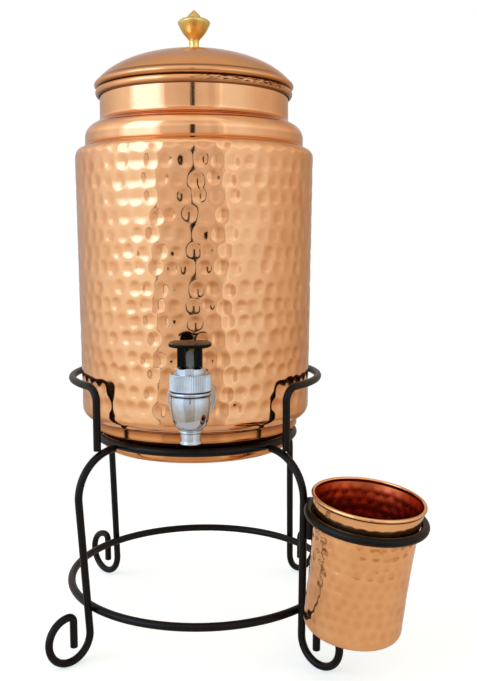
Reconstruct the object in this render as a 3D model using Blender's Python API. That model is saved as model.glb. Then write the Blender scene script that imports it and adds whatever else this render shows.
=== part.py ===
"""Copper water dispenser: a hammered vessel with a lever tap on a round-bar stand, and a tumbler.

Lengths are metres, +Z is up, the tap faces -Y and the tumbler hangs on the +X side.
Azimuths are degrees from -Y towards +X, so the tap is at 0.
"""

import math

import bmesh
import bpy
import numpy
from mathutils import Euler, Matrix, Vector

# General
GAP = 0.0003                      # clearance that touching pieces keep
OVERRUN = 0.003                   # how far a cutter runs past what it cuts
WELD = 0.000001                   # points closer than this are one point
SHEET = 0.0010                    # copper sheet of vessel, lid and tumbler
ROUND_STEPS = 40                  # sides of the large turned pieces
SMALL_STEPS = 24                  # sides of the small turned pieces
BAR_STEPS = 2                     # bevel resolution of a bar, which gives 8 sides
SPRING_STEPS = 1                  # bevel resolution of the spring wire, which gives 6 sides
CORNER_STEPS = 3                  # runs in a rounded corner
SMOOTH_ANGLE = 40                 # degrees up to which neighbouring faces shade as one

# Stand
RING_BAR = 0.0060                 # bar of both rings and of the tumbler's ring
LEG_BAR = 0.0055                  # bar of legs and arms
UPPER_RING_RADIUS = 0.0766
UPPER_RING_HEIGHT = 0.1522        # centre of its bar above the floor
LOWER_RING_RADIUS = 0.1036
LOWER_RING_HEIGHT = 0.0358
LOWER_RING_SHIFT_X = 0.0039       # the hand-bent lower ring sits off the vessel's axis
LOWER_RING_SHIFT_Y = 0.0010
RING_STEPS = 40
STAND_TURN = -0.9                 # azimuth by which the stand is turned under the vessel
LEG_AZIMUTHS = (-45, 45, 135, -135)
LEG_NAMES = ("leg_front_left", "leg_front_right", "leg_back_right", "leg_back_left")
LEG_DROP = 0.0015                 # leg top below the upper ring's centre
LEG_SHOULDER = 0.0324             # radius of the bend at the leg's top
SHOULDER_STEPS = 8
FOOT_FLAT = 0.0004                # depth of the flat that each foot stands on
SCROLL_OUTER = 0.0172             # radii of the foot's scroll, in turn
SCROLL_MIDDLE = 0.0161
SCROLL_INNER = 0.0044
SCROLL_TAIL = 0.0190              # straight end inside the scroll
SCROLL_OUTER_STEPS = 12
SCROLL_MIDDLE_STEPS = 6
SCROLL_INNER_STEPS = 4
ARM_RADIUS = 0.0955               # arms bend round the vessel on this radius
ARM_HEIGHT = 0.1970
ARM_CORNER = 0.0100
ARM_STEPS = 14

# Tumbler and its holder
HOLDER_RADIUS = 0.0390
HOLDER_HEIGHT = 0.1168            # centre of the holder's ring above the floor
HOLDER_AZIMUTH = 50.2             # way from the front right leg to the holder's centre
HOLDER_LEAN = 7.4                 # degrees that ring and tumbler lean away from the leg
STUB_LENGTH = 0.0300              # short bar between the leg and the holder's ring
TUMBLER_HEIGHT = 0.0954
TUMBLER_RIM_RADIUS = 0.0375
TUMBLER_FOOT_RADIUS = 0.0316
TUMBLER_CORNER = 0.0060
TUMBLER_FLARE = 2.2               # power of the height share by which the wall opens out
TUMBLER_LIP = 0.0011              # radius of the rolled lip
TUMBLER_WALL_STEPS = 5

# Vessel, with z from the underside of its pan
PAN_FOOT_RADIUS = 0.0730
PAN_FOOT_HEIGHT = 0.0103
PAN_CORNER = 0.0040
PAN_BAND_RADIUS = 0.0793
PAN_HEIGHT = 0.0229
DRUM_HEIGHT = 0.2031
DRUM_BOTTOM_RADIUS = 0.0880
DRUM_TOP_RADIUS = 0.0902
DRUM_BOTTOM_CORNER = 0.0090
DRUM_TOP_CORNER = 0.0060
DRUM_TURNED_EDGE = 0.0040         # flat edge turned in at both ends of the drum
SHOULDER_RADIUS = 0.0825
SHOULDER_WALL = 0.0073            # upright wall below the shoulder's bend
SHOULDER_BEND = 0.0110
NECK_RADIUS = 0.0712
NECK_FILLET = 0.0030
NECK_HEIGHT = 0.0493              # from the drum's top to the neck's edge

# Lid
LID_PLAY = 0.0006                 # radial play of the lid's skirt on the neck
LID_SKIRT_RADIUS = 0.0729
LOWER_BEAD_HEIGHT = 0.0077
LOWER_BEAD_BULGE = 0.0012
UPPER_BEAD_HEIGHT = 0.0055
UPPER_BEAD_BULGE = 0.0022
BEAD_STEPS = 4
DOME_RISE = 0.0238
DOME_ELLIPSE_RADIUS = 0.0780      # half width of the ellipse that the dome is part of
DOME_STEPS = 6
CROWN_HOLE_RADIUS = 0.0028

# Knob, with its outline as shares of its radius and height
KNOB_RADIUS = 0.0120
KNOB_HEIGHT = 0.0307
KNOB_RADIUS_SHARES = (0.38, 0.37, 0.30, 0.26, 0.29, 0.43, 0.65, 0.84, 0.96, 1.00, 0.83, 0.50, 0.22)
KNOB_HEIGHT_SHARES = (0.00, 0.04, 0.10, 0.20, 0.27, 0.35, 0.41, 0.53, 0.62, 0.69, 0.75, 0.80, 0.90)
STUD_RADIUS = 0.0025
STUD_LENGTH = 0.0095
KNOB_WASHER_RADIUS = 0.0060
KNOB_WASHER_THICKNESS = 0.0010
KNOB_NUT_FLATS = 0.0080
KNOB_NUT_HEIGHT = 0.0040

# Tap, with heights from the shank's axis
SHANK_HEIGHT = 0.0510             # above the underside of the pan
TAP_REACH = 0.1100                # from the vessel's axis to the tap's upright axis
SHANK_RADIUS = 0.0078
SHANK_BORE = 0.0040
SHANK_NECK_RADIUS = 0.0054        # thinner run between the collar and the body
SHANK_INNER_END = 0.0725          # from the vessel's axis
COLLAR_RADIUS = 0.0120
COLLAR_THICKNESS = 0.0030
OUTER_WASHER_RADIUS = 0.0157
OUTER_WASHER_THICKNESS = 0.0030
INNER_WASHER_RADIUS = 0.0140
INNER_WASHER_THICKNESS = 0.0029
LOCK_NUT_FLATS = 0.0240
LOCK_NUT_HEIGHT = 0.0070
SPOUT_END = -0.0275
SPOUT_RADIUS = 0.0065
SPOUT_LIP_RADIUS = 0.0073
SPOUT_LIP_HEIGHT = 0.0016
SPOUT_BORE = 0.0046
FLANGE_BOTTOM = -0.0190
FLANGE_RADIUS = 0.0081
FLANGE_GROOVE = 0.0004
EGG_BOTTOM = -0.0164
EGG_BOTTOM_RADIUS = 0.0078
EGG_WIDEST = 0.0020
EGG_RADIUS = 0.0136
EGG_STEPS = 8
BODY_TOP = 0.0057
BODY_TOP_RADIUS = 0.0133
BODY_NECK_RADIUS = 0.0118
BODY_NECK_TOP = 0.0132
CHAMBER_RADIUS = 0.0090
CHAMBER_FLOOR = -0.0100
CAP_BEAD_RADIUS = 0.0142
CAP_BEAD_HEIGHT = 0.0025
CAP_RADIUS = 0.0139
CAP_TOP = 0.0204
CAP_CHAMFER = 0.0008
CAP_WALL = 0.0018
CAP_FLUTES = 24
CAP_FLUTE_DEPTH = 0.00035
BONNET_RADIUS = 0.0098
BONNET_TOP = 0.0243
SPRING_ROOM_RADIUS = 0.0080
SPRING_ROOM_TOP = 0.0175
SEAL_RADIUS = 0.0062
SEAL_HEIGHT = 0.0014
GASKET_INNER_RADIUS = 0.0084
GASKET_HEIGHT = 0.0011
STEM_RADIUS = 0.0031
STEM_TIP_RADIUS = 0.0026
STEM_COLLAR_RADIUS = 0.0060
STEM_COLLAR_BOTTOM = 0.0010
STEM_COLLAR_HEIGHT = 0.0015
STEM_HEAD_WIDTH = 0.0056
STEM_HEAD_DEPTH = 0.0060
STEM_HEAD_BOTTOM = 0.0250
STEM_HEAD_SHOULDER = 0.0344
STEM_HEAD_TOP = 0.0364
SEAT_RADIUS = 0.0066
SEAT_HEIGHT = 0.0100
SEAT_SKIN = 0.0024                # silicone below the stem's tip
SPRING_MEAN_RADIUS = 0.0049
SPRING_WIRE_RADIUS = 0.00045
SPRING_TURNS = 5
SPRING_TURN_POINTS = 10

# Lever, with heights from its pin
PIN_HEIGHT = 0.0312               # above the shank's axis
PIN_RADIUS = 0.0012
CHEEK_THICKNESS = 0.0050
CHEEK_BACK = 0.0062
CAM_THROW = 0.0055                # stem lift in metres per radian of lever
LEVER_RANGE = 30                  # degrees that the lever is pressed down
CAM_STEPS = 6
PLATE_BOTTOM = 0.0068
PLATE_THICKNESS = 0.0026
PLATE_WIDTH = 0.0261
PLATE_DEPTH = 0.0200
PLATE_BACK = 0.0085               # from the pin to the plate's back edge
PLATE_POWER = 3.2                 # roundness of the plate's outline
PLATE_STEPS = 28

# Colours as sRGB hex, then roughness and metallic value
FINISHES = {
    "hammered_copper": ("d98f5f", 0.20, 1.0),
    "polished_copper": ("e09a68", 0.12, 1.0),
    "tumbler_copper": ("dd9560", 0.22, 1.0),
    "brass": ("c9a24b", 0.25, 1.0),
    "chrome": ("c9ccd0", 0.08, 1.0),
    "black_iron": ("17181a", 0.45, 0.0),
    "black_plastic": ("111214", 0.30, 0.0),
    "grey_plastic": ("74797c", 0.40, 0.0),
    "white_silicone": ("dfe3df", 0.45, 0.0),
    "steel": ("a8abad", 0.30, 1.0),
}


def azimuth_way(azimuth):
    """Unit vector that points along an azimuth, level."""
    angle = math.radians(azimuth)
    return Vector((math.sin(angle), -math.cos(angle), 0))


def linear(channel):
    """Linear value of one sRGB channel between 0 and 1."""
    if channel <= 0.04045:
        return channel / 12.92
    return ((channel + 0.055) / 1.055) ** 2.4


def material(name):
    """Principled material of one finish, made on its first use."""
    if name in bpy.data.materials:
        return bpy.data.materials[name]
    code, roughness, metallic = FINISHES[name]
    made = bpy.data.materials.new(name)
    made.use_nodes = True
    shader = made.node_tree.nodes["Principled BSDF"]
    channels = [linear(int(code[at:at + 2], 16) / 255) for at in (0, 2, 4)]
    shader.inputs["Base Color"].default_value = (*channels, 1)
    shader.inputs["Roughness"].default_value = roughness
    shader.inputs["Metallic"].default_value = metallic
    return made


def empty(name, parent=None, location=(0, 0, 0), rotation=(0, 0, 0)):
    """Empty that carries pieces."""
    made = bpy.data.objects.new(name, None)
    bpy.context.scene.collection.objects.link(made)
    made.parent = parent
    made.location = location
    made.rotation_euler = rotation
    return made


def place(name, data, finish, parent, location=(0, 0, 0), rotation=(0, 0, 0)):
    """Object of some mesh or curve data, with its finish."""
    made = bpy.data.objects.new(name, data)
    bpy.context.scene.collection.objects.link(made)
    made.parent = parent
    made.location = location
    made.rotation_euler = rotation
    if finish:
        data.materials.append(material(finish))
    return made


def finish_mesh(bm, name):
    """Mesh from a bmesh, with its faces pointing out and smooth up to a crease."""
    bmesh.ops.remove_doubles(bm, verts=bm.verts, dist=WELD)
    bmesh.ops.recalc_face_normals(bm, faces=bm.faces)
    mesh = bpy.data.meshes.new(name)
    bm.to_mesh(mesh)
    bm.free()
    mesh.shade_smooth()
    mesh.set_sharp_from_angle(angle=math.radians(SMOOTH_ANGLE))
    return mesh


def arc(centre_r, centre_z, radius, start, end, steps=CORNER_STEPS):
    """Points of an arc between two angles in degrees, both ends included."""
    angles = [math.radians(start + (end - start) * step / steps) for step in range(steps + 1)]
    return [(centre_r + radius * math.cos(turn), centre_z + radius * math.sin(turn)) for turn in angles]


def turned(name, outline, steps, ring=True):
    """Mesh turned about Z from (radius, z) points: a closed ring outline, or a chain from axis to axis."""
    bm = bmesh.new()
    points = [bm.verts.new((radius, 0, z)) for radius, z in outline]
    edges = [bm.edges.new(pair) for pair in zip(points, points[1:])]
    if ring:
        edges.append(bm.edges.new((points[-1], points[0])))
    bmesh.ops.spin(bm, geom=points + edges, cent=(0, 0, 0), axis=(0, 0, 1), angle=math.tau,
                   steps=steps, use_merge=True)
    return finish_mesh(bm, name)


def cylinder(name, radius, low, high, steps=SMALL_STEPS):
    """Solid cylinder mesh about Z."""
    return turned(name, [(0, low), (radius, low), (radius, high), (0, high)], steps, ring=False)


def slab(name, outline, low, high):
    """Mesh of an (x, y) outline raised along Z."""
    bm = bmesh.new()
    face = bm.faces.new([bm.verts.new((x, y, low)) for x, y in outline])
    raised = bmesh.ops.extrude_face_region(bm, geom=[face])["geom"]
    tops = [item for item in raised if isinstance(item, bmesh.types.BMVert)]
    bmesh.ops.translate(bm, verts=tops, vec=(0, 0, high - low))
    return finish_mesh(bm, name)


def hexagon(name, flats, low, high):
    """Hexagonal prism mesh about Z."""
    corner = flats / math.sqrt(3)
    outline = [(corner * math.cos(math.radians(60 * side)), corner * math.sin(math.radians(60 * side)))
               for side in range(6)]
    return slab(name, outline, low, high)


def bar(name, points, diameter, finish, parent, closed=False, resolution=BAR_STEPS):
    """Round bar bent along points, as one closed mesh."""
    curve = bpy.data.curves.new(name, "CURVE")
    curve.dimensions = "3D"
    curve.bevel_depth = diameter / 2
    curve.bevel_resolution = resolution
    curve.use_fill_caps = True
    spline = curve.splines.new("POLY")
    spline.points.add(len(points) - 1)
    for target, point in zip(spline.points, points):
        target.co = (*point, 1)
    spline.use_cyclic_u = closed
    drawn = place(name + "_curve", curve, None, None)
    bpy.context.view_layer.update()
    shaped = drawn.evaluated_get(bpy.context.evaluated_depsgraph_get())
    bm = bmesh.new()
    bm.from_mesh(shaped.to_mesh())
    shaped.to_mesh_clear()
    bpy.data.objects.remove(drawn)
    return place(name, finish_mesh(bm, name), finish, parent)


def cutter(name, mesh, parent, location=(0, 0, 0), rotation=(0, 0, 0)):
    """Helper object for a Boolean, which isn't a piece."""
    made = place(name, mesh, None, parent, location, rotation)
    made.hide_render = True
    made.display_type = "WIRE"
    return made


def combine(piece, operation, tool):
    """Boolean modifier on a piece: DIFFERENCE, UNION or INTERSECT."""
    step = piece.modifiers.new(operation.lower() + "_" + tool.name, "BOOLEAN")
    step.operation = operation
    step.solver = "EXACT"
    step.object = tool


def circle_points(radius, z, steps, centre=(0, 0)):
    """Level circle of points."""
    turns = [math.tau * step / steps for step in range(steps)]
    return [Vector((centre[0] + radius * math.cos(turn), centre[1] + radius * math.sin(turn), z))
            for turn in turns]


def leg_arc_centre():
    """Reach and height of the centre of the bend at a leg's top."""
    reach = UPPER_RING_RADIUS + RING_BAR / 2 + GAP
    height = UPPER_RING_HEIGHT - LEG_DROP - LEG_SHOULDER
    return reach, height


def leg_reach(azimuth):
    """Distance from the axis to a leg's centre line where it passes the lower ring."""
    way = azimuth_way(azimuth)
    shift = Vector((LOWER_RING_SHIFT_X, LOWER_RING_SHIFT_Y, 0))
    along = shift.dot(way)
    clear = LOWER_RING_RADIUS + RING_BAR / 2 + LEG_BAR / 2 + GAP
    return along + math.sqrt(along ** 2 - shift.length_squared + clear ** 2)


def scroll_centre_height():
    """Height of the centre of a foot's outer scroll radius."""
    return LEG_BAR / 2 - FOOT_FLAT + SCROLL_OUTER


def stem_reach(azimuth, height):
    """Distance from the axis to a leg's straight run at some height."""
    top_reach, top_height = leg_arc_centre()
    top_reach += LEG_SHOULDER
    low_reach = leg_reach(azimuth)
    slope = (top_reach - low_reach) / (top_height - LOWER_RING_HEIGHT)
    return low_reach + slope * (height - LOWER_RING_HEIGHT)


def leg_outline(azimuth):
    """Centre line of a leg in its upright plane: bend, straight run, scroll and tail."""
    centre_reach, centre_height = leg_arc_centre()
    low = scroll_centre_height()
    reach = stem_reach(azimuth, low)
    points = arc(centre_reach, centre_height, LEG_SHOULDER, 90, 0, SHOULDER_STEPS)
    outer_centre = reach + SCROLL_OUTER
    points += arc(outer_centre, low, SCROLL_OUTER, 180, 360, SCROLL_OUTER_STEPS)
    inner_centre = reach + 2 * SCROLL_OUTER - SCROLL_MIDDLE
    points += arc(inner_centre, low, SCROLL_MIDDLE, 0, 90, SCROLL_MIDDLE_STEPS)[1:]
    inner_height = low + SCROLL_MIDDLE - SCROLL_INNER
    points += arc(inner_centre, inner_height, SCROLL_INNER, 90, 180, SCROLL_INNER_STEPS)[1:]
    points.append((inner_centre - SCROLL_INNER, inner_height - SCROLL_TAIL))
    return points


def build_legs(parent):
    """Four scrolled legs, each cut flat where it stands."""
    floor_size = 2 * (LOWER_RING_RADIUS + RING_BAR + LEG_BAR + 2 * SCROLL_OUTER + OVERRUN)
    outline = [(-floor_size / 2, -floor_size / 2), (floor_size / 2, -floor_size / 2),
               (floor_size / 2, floor_size / 2), (-floor_size / 2, floor_size / 2)]
    floor = cutter("cut_floor", slab("cut_floor", outline, -OVERRUN, 0), parent)
    for name, azimuth in zip(LEG_NAMES, LEG_AZIMUTHS):
        azimuth += STAND_TURN
        way = azimuth_way(azimuth)
        points = [way * reach + Vector((0, 0, height)) for reach, height in leg_outline(azimuth)]
        leg = bar(name, points, LEG_BAR, "black_iron", parent)
        combine(leg, "DIFFERENCE", floor)


def build_arm(name, first_azimuth, last_azimuth, parent):
    """Arm bent round the vessel, with a post at each end that stands on a leg's bend."""
    centre_reach, centre_height = leg_arc_centre()
    inner_edge = ARM_RADIUS - LEG_BAR / 2 - centre_reach
    foot = centre_height + math.sqrt((LEG_SHOULDER + LEG_BAR / 2) ** 2 - inner_edge ** 2) + GAP
    length = ARM_RADIUS * math.radians(last_azimuth - first_azimuth)
    sign = math.copysign(1, length)
    length = abs(length)
    corner = ARM_HEIGHT - ARM_CORNER
    run = [(0, foot)]
    run += arc(ARM_CORNER, corner, ARM_CORNER, 180, 90)
    span = length - 2 * ARM_CORNER
    run += [(ARM_CORNER + span * step / ARM_STEPS, ARM_HEIGHT) for step in range(1, ARM_STEPS)]
    run += arc(length - ARM_CORNER, corner, ARM_CORNER, 90, 0)
    run.append((length, foot))
    points = []
    for along, height in run:
        azimuth = first_azimuth + sign * math.degrees(along / ARM_RADIUS)
        points.append(azimuth_way(azimuth) * ARM_RADIUS + Vector((0, 0, height)))
    bar(name, points, LEG_BAR, "black_iron", parent)


def holder_leg():
    """Azimuth of the leg that carries the holder."""
    return LEG_AZIMUTHS[LEG_NAMES.index("leg_front_right")] + STAND_TURN


def holder_frame():
    """Centre of the holder's ring, its rotation and the level way to it from the leg."""
    leg = azimuth_way(holder_leg()) * stem_reach(holder_leg(), HOLDER_HEIGHT)
    way = azimuth_way(HOLDER_AZIMUTH)
    apart = LEG_BAR / 2 + GAP + LEG_BAR + GAP + RING_BAR / 2 + HOLDER_RADIUS
    centre = leg + way * apart + Vector((0, 0, HOLDER_HEIGHT))
    lean_axis = Vector((0, 0, 1)).cross(way)
    rotation = Matrix.Rotation(math.radians(HOLDER_LEAN), 3, lean_axis).to_euler()
    return centre, rotation, way


def build_holder(parent):
    """Leaning ring that holds the tumbler, and the stub that ties it to the leg."""
    centre, rotation, way = holder_frame()
    ring = bar("holder_ring", circle_points(HOLDER_RADIUS, 0, RING_STEPS), RING_BAR, "black_iron",
               parent, closed=True)
    ring.location = centre
    ring.rotation_euler = rotation
    top = HOLDER_HEIGHT + HOLDER_RADIUS * math.sin(math.radians(HOLDER_LEAN))
    points = []
    for height in (top - STUB_LENGTH, top):
        leg = azimuth_way(holder_leg()) * stem_reach(holder_leg(), height)
        points.append(leg + way * (LEG_BAR + GAP) + Vector((0, 0, height)))
    bar("holder_stub", points, LEG_BAR, "black_iron", parent)


def build_stand(root):
    """Rings, legs, arms and holder."""
    parent = empty("stand", root)
    upper = circle_points(UPPER_RING_RADIUS, UPPER_RING_HEIGHT, RING_STEPS)
    bar("upper_ring", upper, RING_BAR, "black_iron", parent, closed=True)
    shift = (LOWER_RING_SHIFT_X, LOWER_RING_SHIFT_Y)
    lower = circle_points(LOWER_RING_RADIUS, LOWER_RING_HEIGHT, RING_STEPS, shift)
    bar("lower_ring", lower, RING_BAR, "black_iron", parent, closed=True)
    build_legs(parent)
    front_left, front_right, back_right, back_left = (side + STAND_TURN for side in LEG_AZIMUTHS)
    build_arm("arm_left", front_left, back_left, parent)
    build_arm("arm_right", front_right, back_right, parent)
    build_holder(parent)


def tumbler_radius(share):
    """Outer radius of the tumbler at a share of its height."""
    return TUMBLER_FOOT_RADIUS + (TUMBLER_RIM_RADIUS - TUMBLER_FOOT_RADIUS) * share ** TUMBLER_FLARE


def build_tumbler(root):
    """Tumbler that hangs in the holder's ring where its wall is as wide as the ring."""
    centre, rotation, _ = holder_frame()
    seat = HOLDER_RADIUS - RING_BAR / 2 - GAP
    widening = TUMBLER_RIM_RADIUS - TUMBLER_FOOT_RADIUS
    seat_share = ((seat - TUMBLER_FOOT_RADIUS) / widening) ** (1 / TUMBLER_FLARE)
    normal = rotation.to_matrix() @ Vector((0, 0, 1))
    parent = empty("tumbler_axis", root, centre - normal * seat_share * TUMBLER_HEIGHT, rotation)
    lip_height = TUMBLER_HEIGHT - TUMBLER_LIP
    first = TUMBLER_CORNER / TUMBLER_HEIGHT
    last = (lip_height - TUMBLER_LIP) / TUMBLER_HEIGHT
    shares = [first + (last - first) * step / TUMBLER_WALL_STEPS for step in range(TUMBLER_WALL_STEPS + 1)]
    corner_r = tumbler_radius(first) - TUMBLER_CORNER
    outer = [(0, 0)] + arc(corner_r, TUMBLER_CORNER, TUMBLER_CORNER, -90, 0)
    outer += [(tumbler_radius(share), share * TUMBLER_HEIGHT) for share in shares[1:]]
    lip = arc(TUMBLER_RIM_RADIUS - TUMBLER_LIP, lip_height, TUMBLER_LIP, -30, 180)
    inner = [(tumbler_radius(share) - SHEET, share * TUMBLER_HEIGHT) for share in reversed(shares[1:])]
    inner += arc(corner_r, TUMBLER_CORNER, TUMBLER_CORNER - SHEET, 0, -90)
    inner.append((0, SHEET))
    mesh = turned("tumbler", outer + lip + inner, ROUND_STEPS, ring=False)
    place("tumbler", mesh, "tumbler_copper", parent)


def pan_base_height():
    """Height of the pan's underside, with its cone resting on the upper ring."""
    clear = (RING_BAR / 2 + GAP) * math.sqrt(2)
    return UPPER_RING_HEIGHT - PAN_FOOT_HEIGHT - (UPPER_RING_RADIUS - PAN_FOOT_RADIUS) + clear


def drum_radius(height, offset=0):
    """Radius of the drum's outer wall above its own lower edge, plus an offset."""
    low = DRUM_BOTTOM_CORNER
    high = DRUM_HEIGHT - DRUM_TOP_CORNER
    share = (height - low) / (high - low)
    return DRUM_BOTTOM_RADIUS + (DRUM_TOP_RADIUS - DRUM_BOTTOM_RADIUS) * share + offset


def pan_outline():
    """Ring outline of the pan, broken at the axis."""
    band_bottom = PAN_FOOT_HEIGHT + PAN_BAND_RADIUS - PAN_FOOT_RADIUS
    lift = SHEET * (math.sqrt(2) - 1)
    outer = [(0, 0)] + arc(PAN_FOOT_RADIUS - PAN_CORNER, PAN_CORNER, PAN_CORNER, -90, 0)
    outer += [(PAN_FOOT_RADIUS, PAN_FOOT_HEIGHT), (PAN_BAND_RADIUS, band_bottom), (PAN_BAND_RADIUS, PAN_HEIGHT)]
    inner = [(PAN_BAND_RADIUS - SHEET, PAN_HEIGHT), (PAN_BAND_RADIUS - SHEET, band_bottom + lift),
             (PAN_FOOT_RADIUS - SHEET, PAN_FOOT_HEIGHT + lift)]
    inner += arc(PAN_FOOT_RADIUS - PAN_CORNER, PAN_CORNER, PAN_CORNER - SHEET, 0, -90)
    inner.append((0, SHEET))
    return outer + inner


def drum_outline():
    """Closed outline of the drum's wall, with its edges turned in."""
    low_r = DRUM_BOTTOM_RADIUS - DRUM_BOTTOM_CORNER
    high_r = DRUM_TOP_RADIUS - DRUM_TOP_CORNER
    high_z = DRUM_HEIGHT - DRUM_TOP_CORNER
    outer = [(low_r - DRUM_TURNED_EDGE, 0)] + arc(low_r, DRUM_BOTTOM_CORNER, DRUM_BOTTOM_CORNER, -90, 0)
    outer += arc(high_r, high_z, DRUM_TOP_CORNER, 0, 90) + [(high_r - DRUM_TURNED_EDGE, DRUM_HEIGHT)]
    inner = [(high_r - DRUM_TURNED_EDGE, DRUM_HEIGHT - SHEET)]
    inner += arc(high_r, high_z, DRUM_TOP_CORNER - SHEET, 90, 0)
    inner += arc(low_r, DRUM_BOTTOM_CORNER, DRUM_BOTTOM_CORNER - SHEET, 0, -90)
    inner.append((low_r - DRUM_TURNED_EDGE, SHEET))
    return outer + inner


def neck_outline():
    """Closed outline of the shoulder and neck, which stand on the drum's turned edge."""
    bend_r = SHOULDER_RADIUS - SHOULDER_BEND
    fillet_r = NECK_RADIUS + NECK_FILLET
    apart = SHOULDER_BEND + NECK_FILLET
    rise = math.sqrt(apart ** 2 - (fillet_r - bend_r) ** 2)
    meet = math.degrees(math.atan2(rise, fillet_r - bend_r))
    fillet_z = SHOULDER_WALL + rise
    outer = [(SHOULDER_RADIUS, 0)] + arc(bend_r, SHOULDER_WALL, SHOULDER_BEND, 0, meet, CORNER_STEPS + 2)
    outer += arc(fillet_r, fillet_z, NECK_FILLET, meet + 180, 180)[1:] + [(NECK_RADIUS, NECK_HEIGHT)]
    inner = [(NECK_RADIUS - SHEET, NECK_HEIGHT)]
    inner += arc(fillet_r, fillet_z, NECK_FILLET + SHEET, 180, meet + 180)
    inner += arc(bend_r, SHOULDER_WALL, SHOULDER_BEND - SHEET, meet, 0, CORNER_STEPS + 2)[1:]
    inner.append((SHOULDER_RADIUS - SHEET, 0))
    return outer + inner


def neck_edge_height():
    """Height of the neck's edge above the underside of the pan."""
    return PAN_HEIGHT + GAP + DRUM_HEIGHT + GAP + NECK_HEIGHT


def dome_sizes():
    """Half height of the dome's ellipse and the height of its centre above the lid's lower edge."""
    flat = math.sqrt(1 - (LID_SKIRT_RADIUS / DOME_ELLIPSE_RADIUS) ** 2)
    half_height = DOME_RISE / (1 - flat)
    rim = LOWER_BEAD_HEIGHT + UPPER_BEAD_HEIGHT
    return half_height, rim + DOME_RISE - half_height


def dome_height(radius, inset=0):
    """Height of the dome's surface over a radius, for the outside or inset by the sheet."""
    half_height, centre = dome_sizes()
    share = radius / (DOME_ELLIPSE_RADIUS - inset)
    return centre + (half_height - inset) * math.sqrt(1 - share ** 2)


def lid_base_height():
    """Height of the lid's lower edge above the pan's underside, with its dome resting on the neck."""
    return neck_edge_height() + GAP - dome_height(NECK_RADIUS, SHEET)


def bead(low, height, bulge):
    """Points of a bead rolled out from the lid's skirt, without its last point."""
    return [(LID_SKIRT_RADIUS + bulge * math.sin(math.pi * step / BEAD_STEPS), low + height * step / BEAD_STEPS)
            for step in range(BEAD_STEPS)]


def lid_outline():
    """Closed outline of the lid: beaded skirt and dome, with a hole at the crown."""
    bore = NECK_RADIUS + LID_PLAY
    shares = [step / DOME_STEPS for step in range(DOME_STEPS + 1)]
    outer_r = [CROWN_HOLE_RADIUS + (LID_SKIRT_RADIUS - CROWN_HOLE_RADIUS) * share ** 0.6 for share in shares]
    inner_r = [CROWN_HOLE_RADIUS + (bore - CROWN_HOLE_RADIUS) * share ** 0.6 for share in shares]
    outline = bead(0, LOWER_BEAD_HEIGHT, LOWER_BEAD_BULGE)
    outline += bead(LOWER_BEAD_HEIGHT, UPPER_BEAD_HEIGHT, UPPER_BEAD_BULGE)
    outline += [(radius, dome_height(radius)) for radius in reversed(outer_r)]
    outline += [(radius, dome_height(radius, SHEET)) for radius in inner_r]
    outline.append((bore, 0))
    return outline


def build_vessel(parent):
    """Pan, drum, and shoulder with neck."""
    place("base_pan", turned("base_pan", pan_outline(), ROUND_STEPS, ring=False), "polished_copper", parent)
    drum = place("drum_shell", turned("drum_shell", drum_outline(), ROUND_STEPS), "hammered_copper",
                 parent, (0, 0, PAN_HEIGHT + GAP))
    hole = cylinder("cut_tap_hole", SHANK_RADIUS + GAP, SHANK_INNER_END, TAP_REACH)
    combine(drum, "DIFFERENCE", cutter("cut_tap_hole", hole, parent, *shank_place()))
    shoulder_height = PAN_HEIGHT + GAP + DRUM_HEIGHT + GAP
    place("shoulder_neck", turned("shoulder_neck", neck_outline(), ROUND_STEPS), "polished_copper",
          parent, (0, 0, shoulder_height))


def build_lid(vessel):
    """Lid with its knob, washer and nut, on an empty that lifts off."""
    parent = empty("lid", vessel, (0, 0, lid_base_height()))
    place("lid_shell", turned("lid_shell", lid_outline(), ROUND_STEPS), "polished_copper", parent)
    crown = dome_height(0)
    shares = zip(KNOB_RADIUS_SHARES, KNOB_HEIGHT_SHARES)
    shape = [(0, -STUD_LENGTH), (STUD_RADIUS, -STUD_LENGTH), (STUD_RADIUS, 0)]
    shape += [(KNOB_RADIUS * across, KNOB_HEIGHT * up) for across, up in shares]
    shape.append((0, KNOB_HEIGHT))
    place("lid_knob", turned("lid_knob", shape, SMALL_STEPS, ring=False), "brass", parent,
          (0, 0, crown + GAP))
    under = dome_height(KNOB_WASHER_RADIUS, SHEET) - GAP - KNOB_WASHER_THICKNESS
    hole = STUD_RADIUS + GAP
    ring = [(hole, 0), (KNOB_WASHER_RADIUS, 0), (KNOB_WASHER_RADIUS, KNOB_WASHER_THICKNESS),
            (hole, KNOB_WASHER_THICKNESS)]
    place("knob_washer", turned("knob_washer", ring, SMALL_STEPS), "brass", parent, (0, 0, under))
    nut_base = under - GAP - KNOB_NUT_HEIGHT
    nut = place("knob_nut", hexagon("knob_nut", KNOB_NUT_FLATS, 0, KNOB_NUT_HEIGHT), "brass", parent,
                (0, 0, nut_base))
    bore = cylinder("cut_knob_nut", hole, -OVERRUN, KNOB_NUT_HEIGHT + OVERRUN)
    combine(nut, "DIFFERENCE", cutter("cut_knob_nut", bore, parent, (0, 0, nut_base)))


def shank_place():
    """Location and rotation that lay a mesh turned about Z along the shank, from the axis to the front."""
    return (0, 0, SHANK_HEIGHT), Euler((math.radians(90), 0, 0))


def wall_reach():
    """Distance from the vessel's axis to the drum's outer wall at the shank."""
    return drum_radius(SHANK_HEIGHT - PAN_HEIGHT - GAP)


def wall_solid(name, offset):
    """Solid of the drum's tapered wall surface round the tap, moved by an offset."""
    low = SHANK_HEIGHT - PAN_HEIGHT - GAP - OUTER_WASHER_RADIUS - OVERRUN
    high = low + 2 * (OUTER_WASHER_RADIUS + OVERRUN)
    outline = [(0, low), (drum_radius(low, offset), low), (drum_radius(high, offset), high), (0, high)]
    return turned(name, outline, ROUND_STEPS, ring=False)


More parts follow.
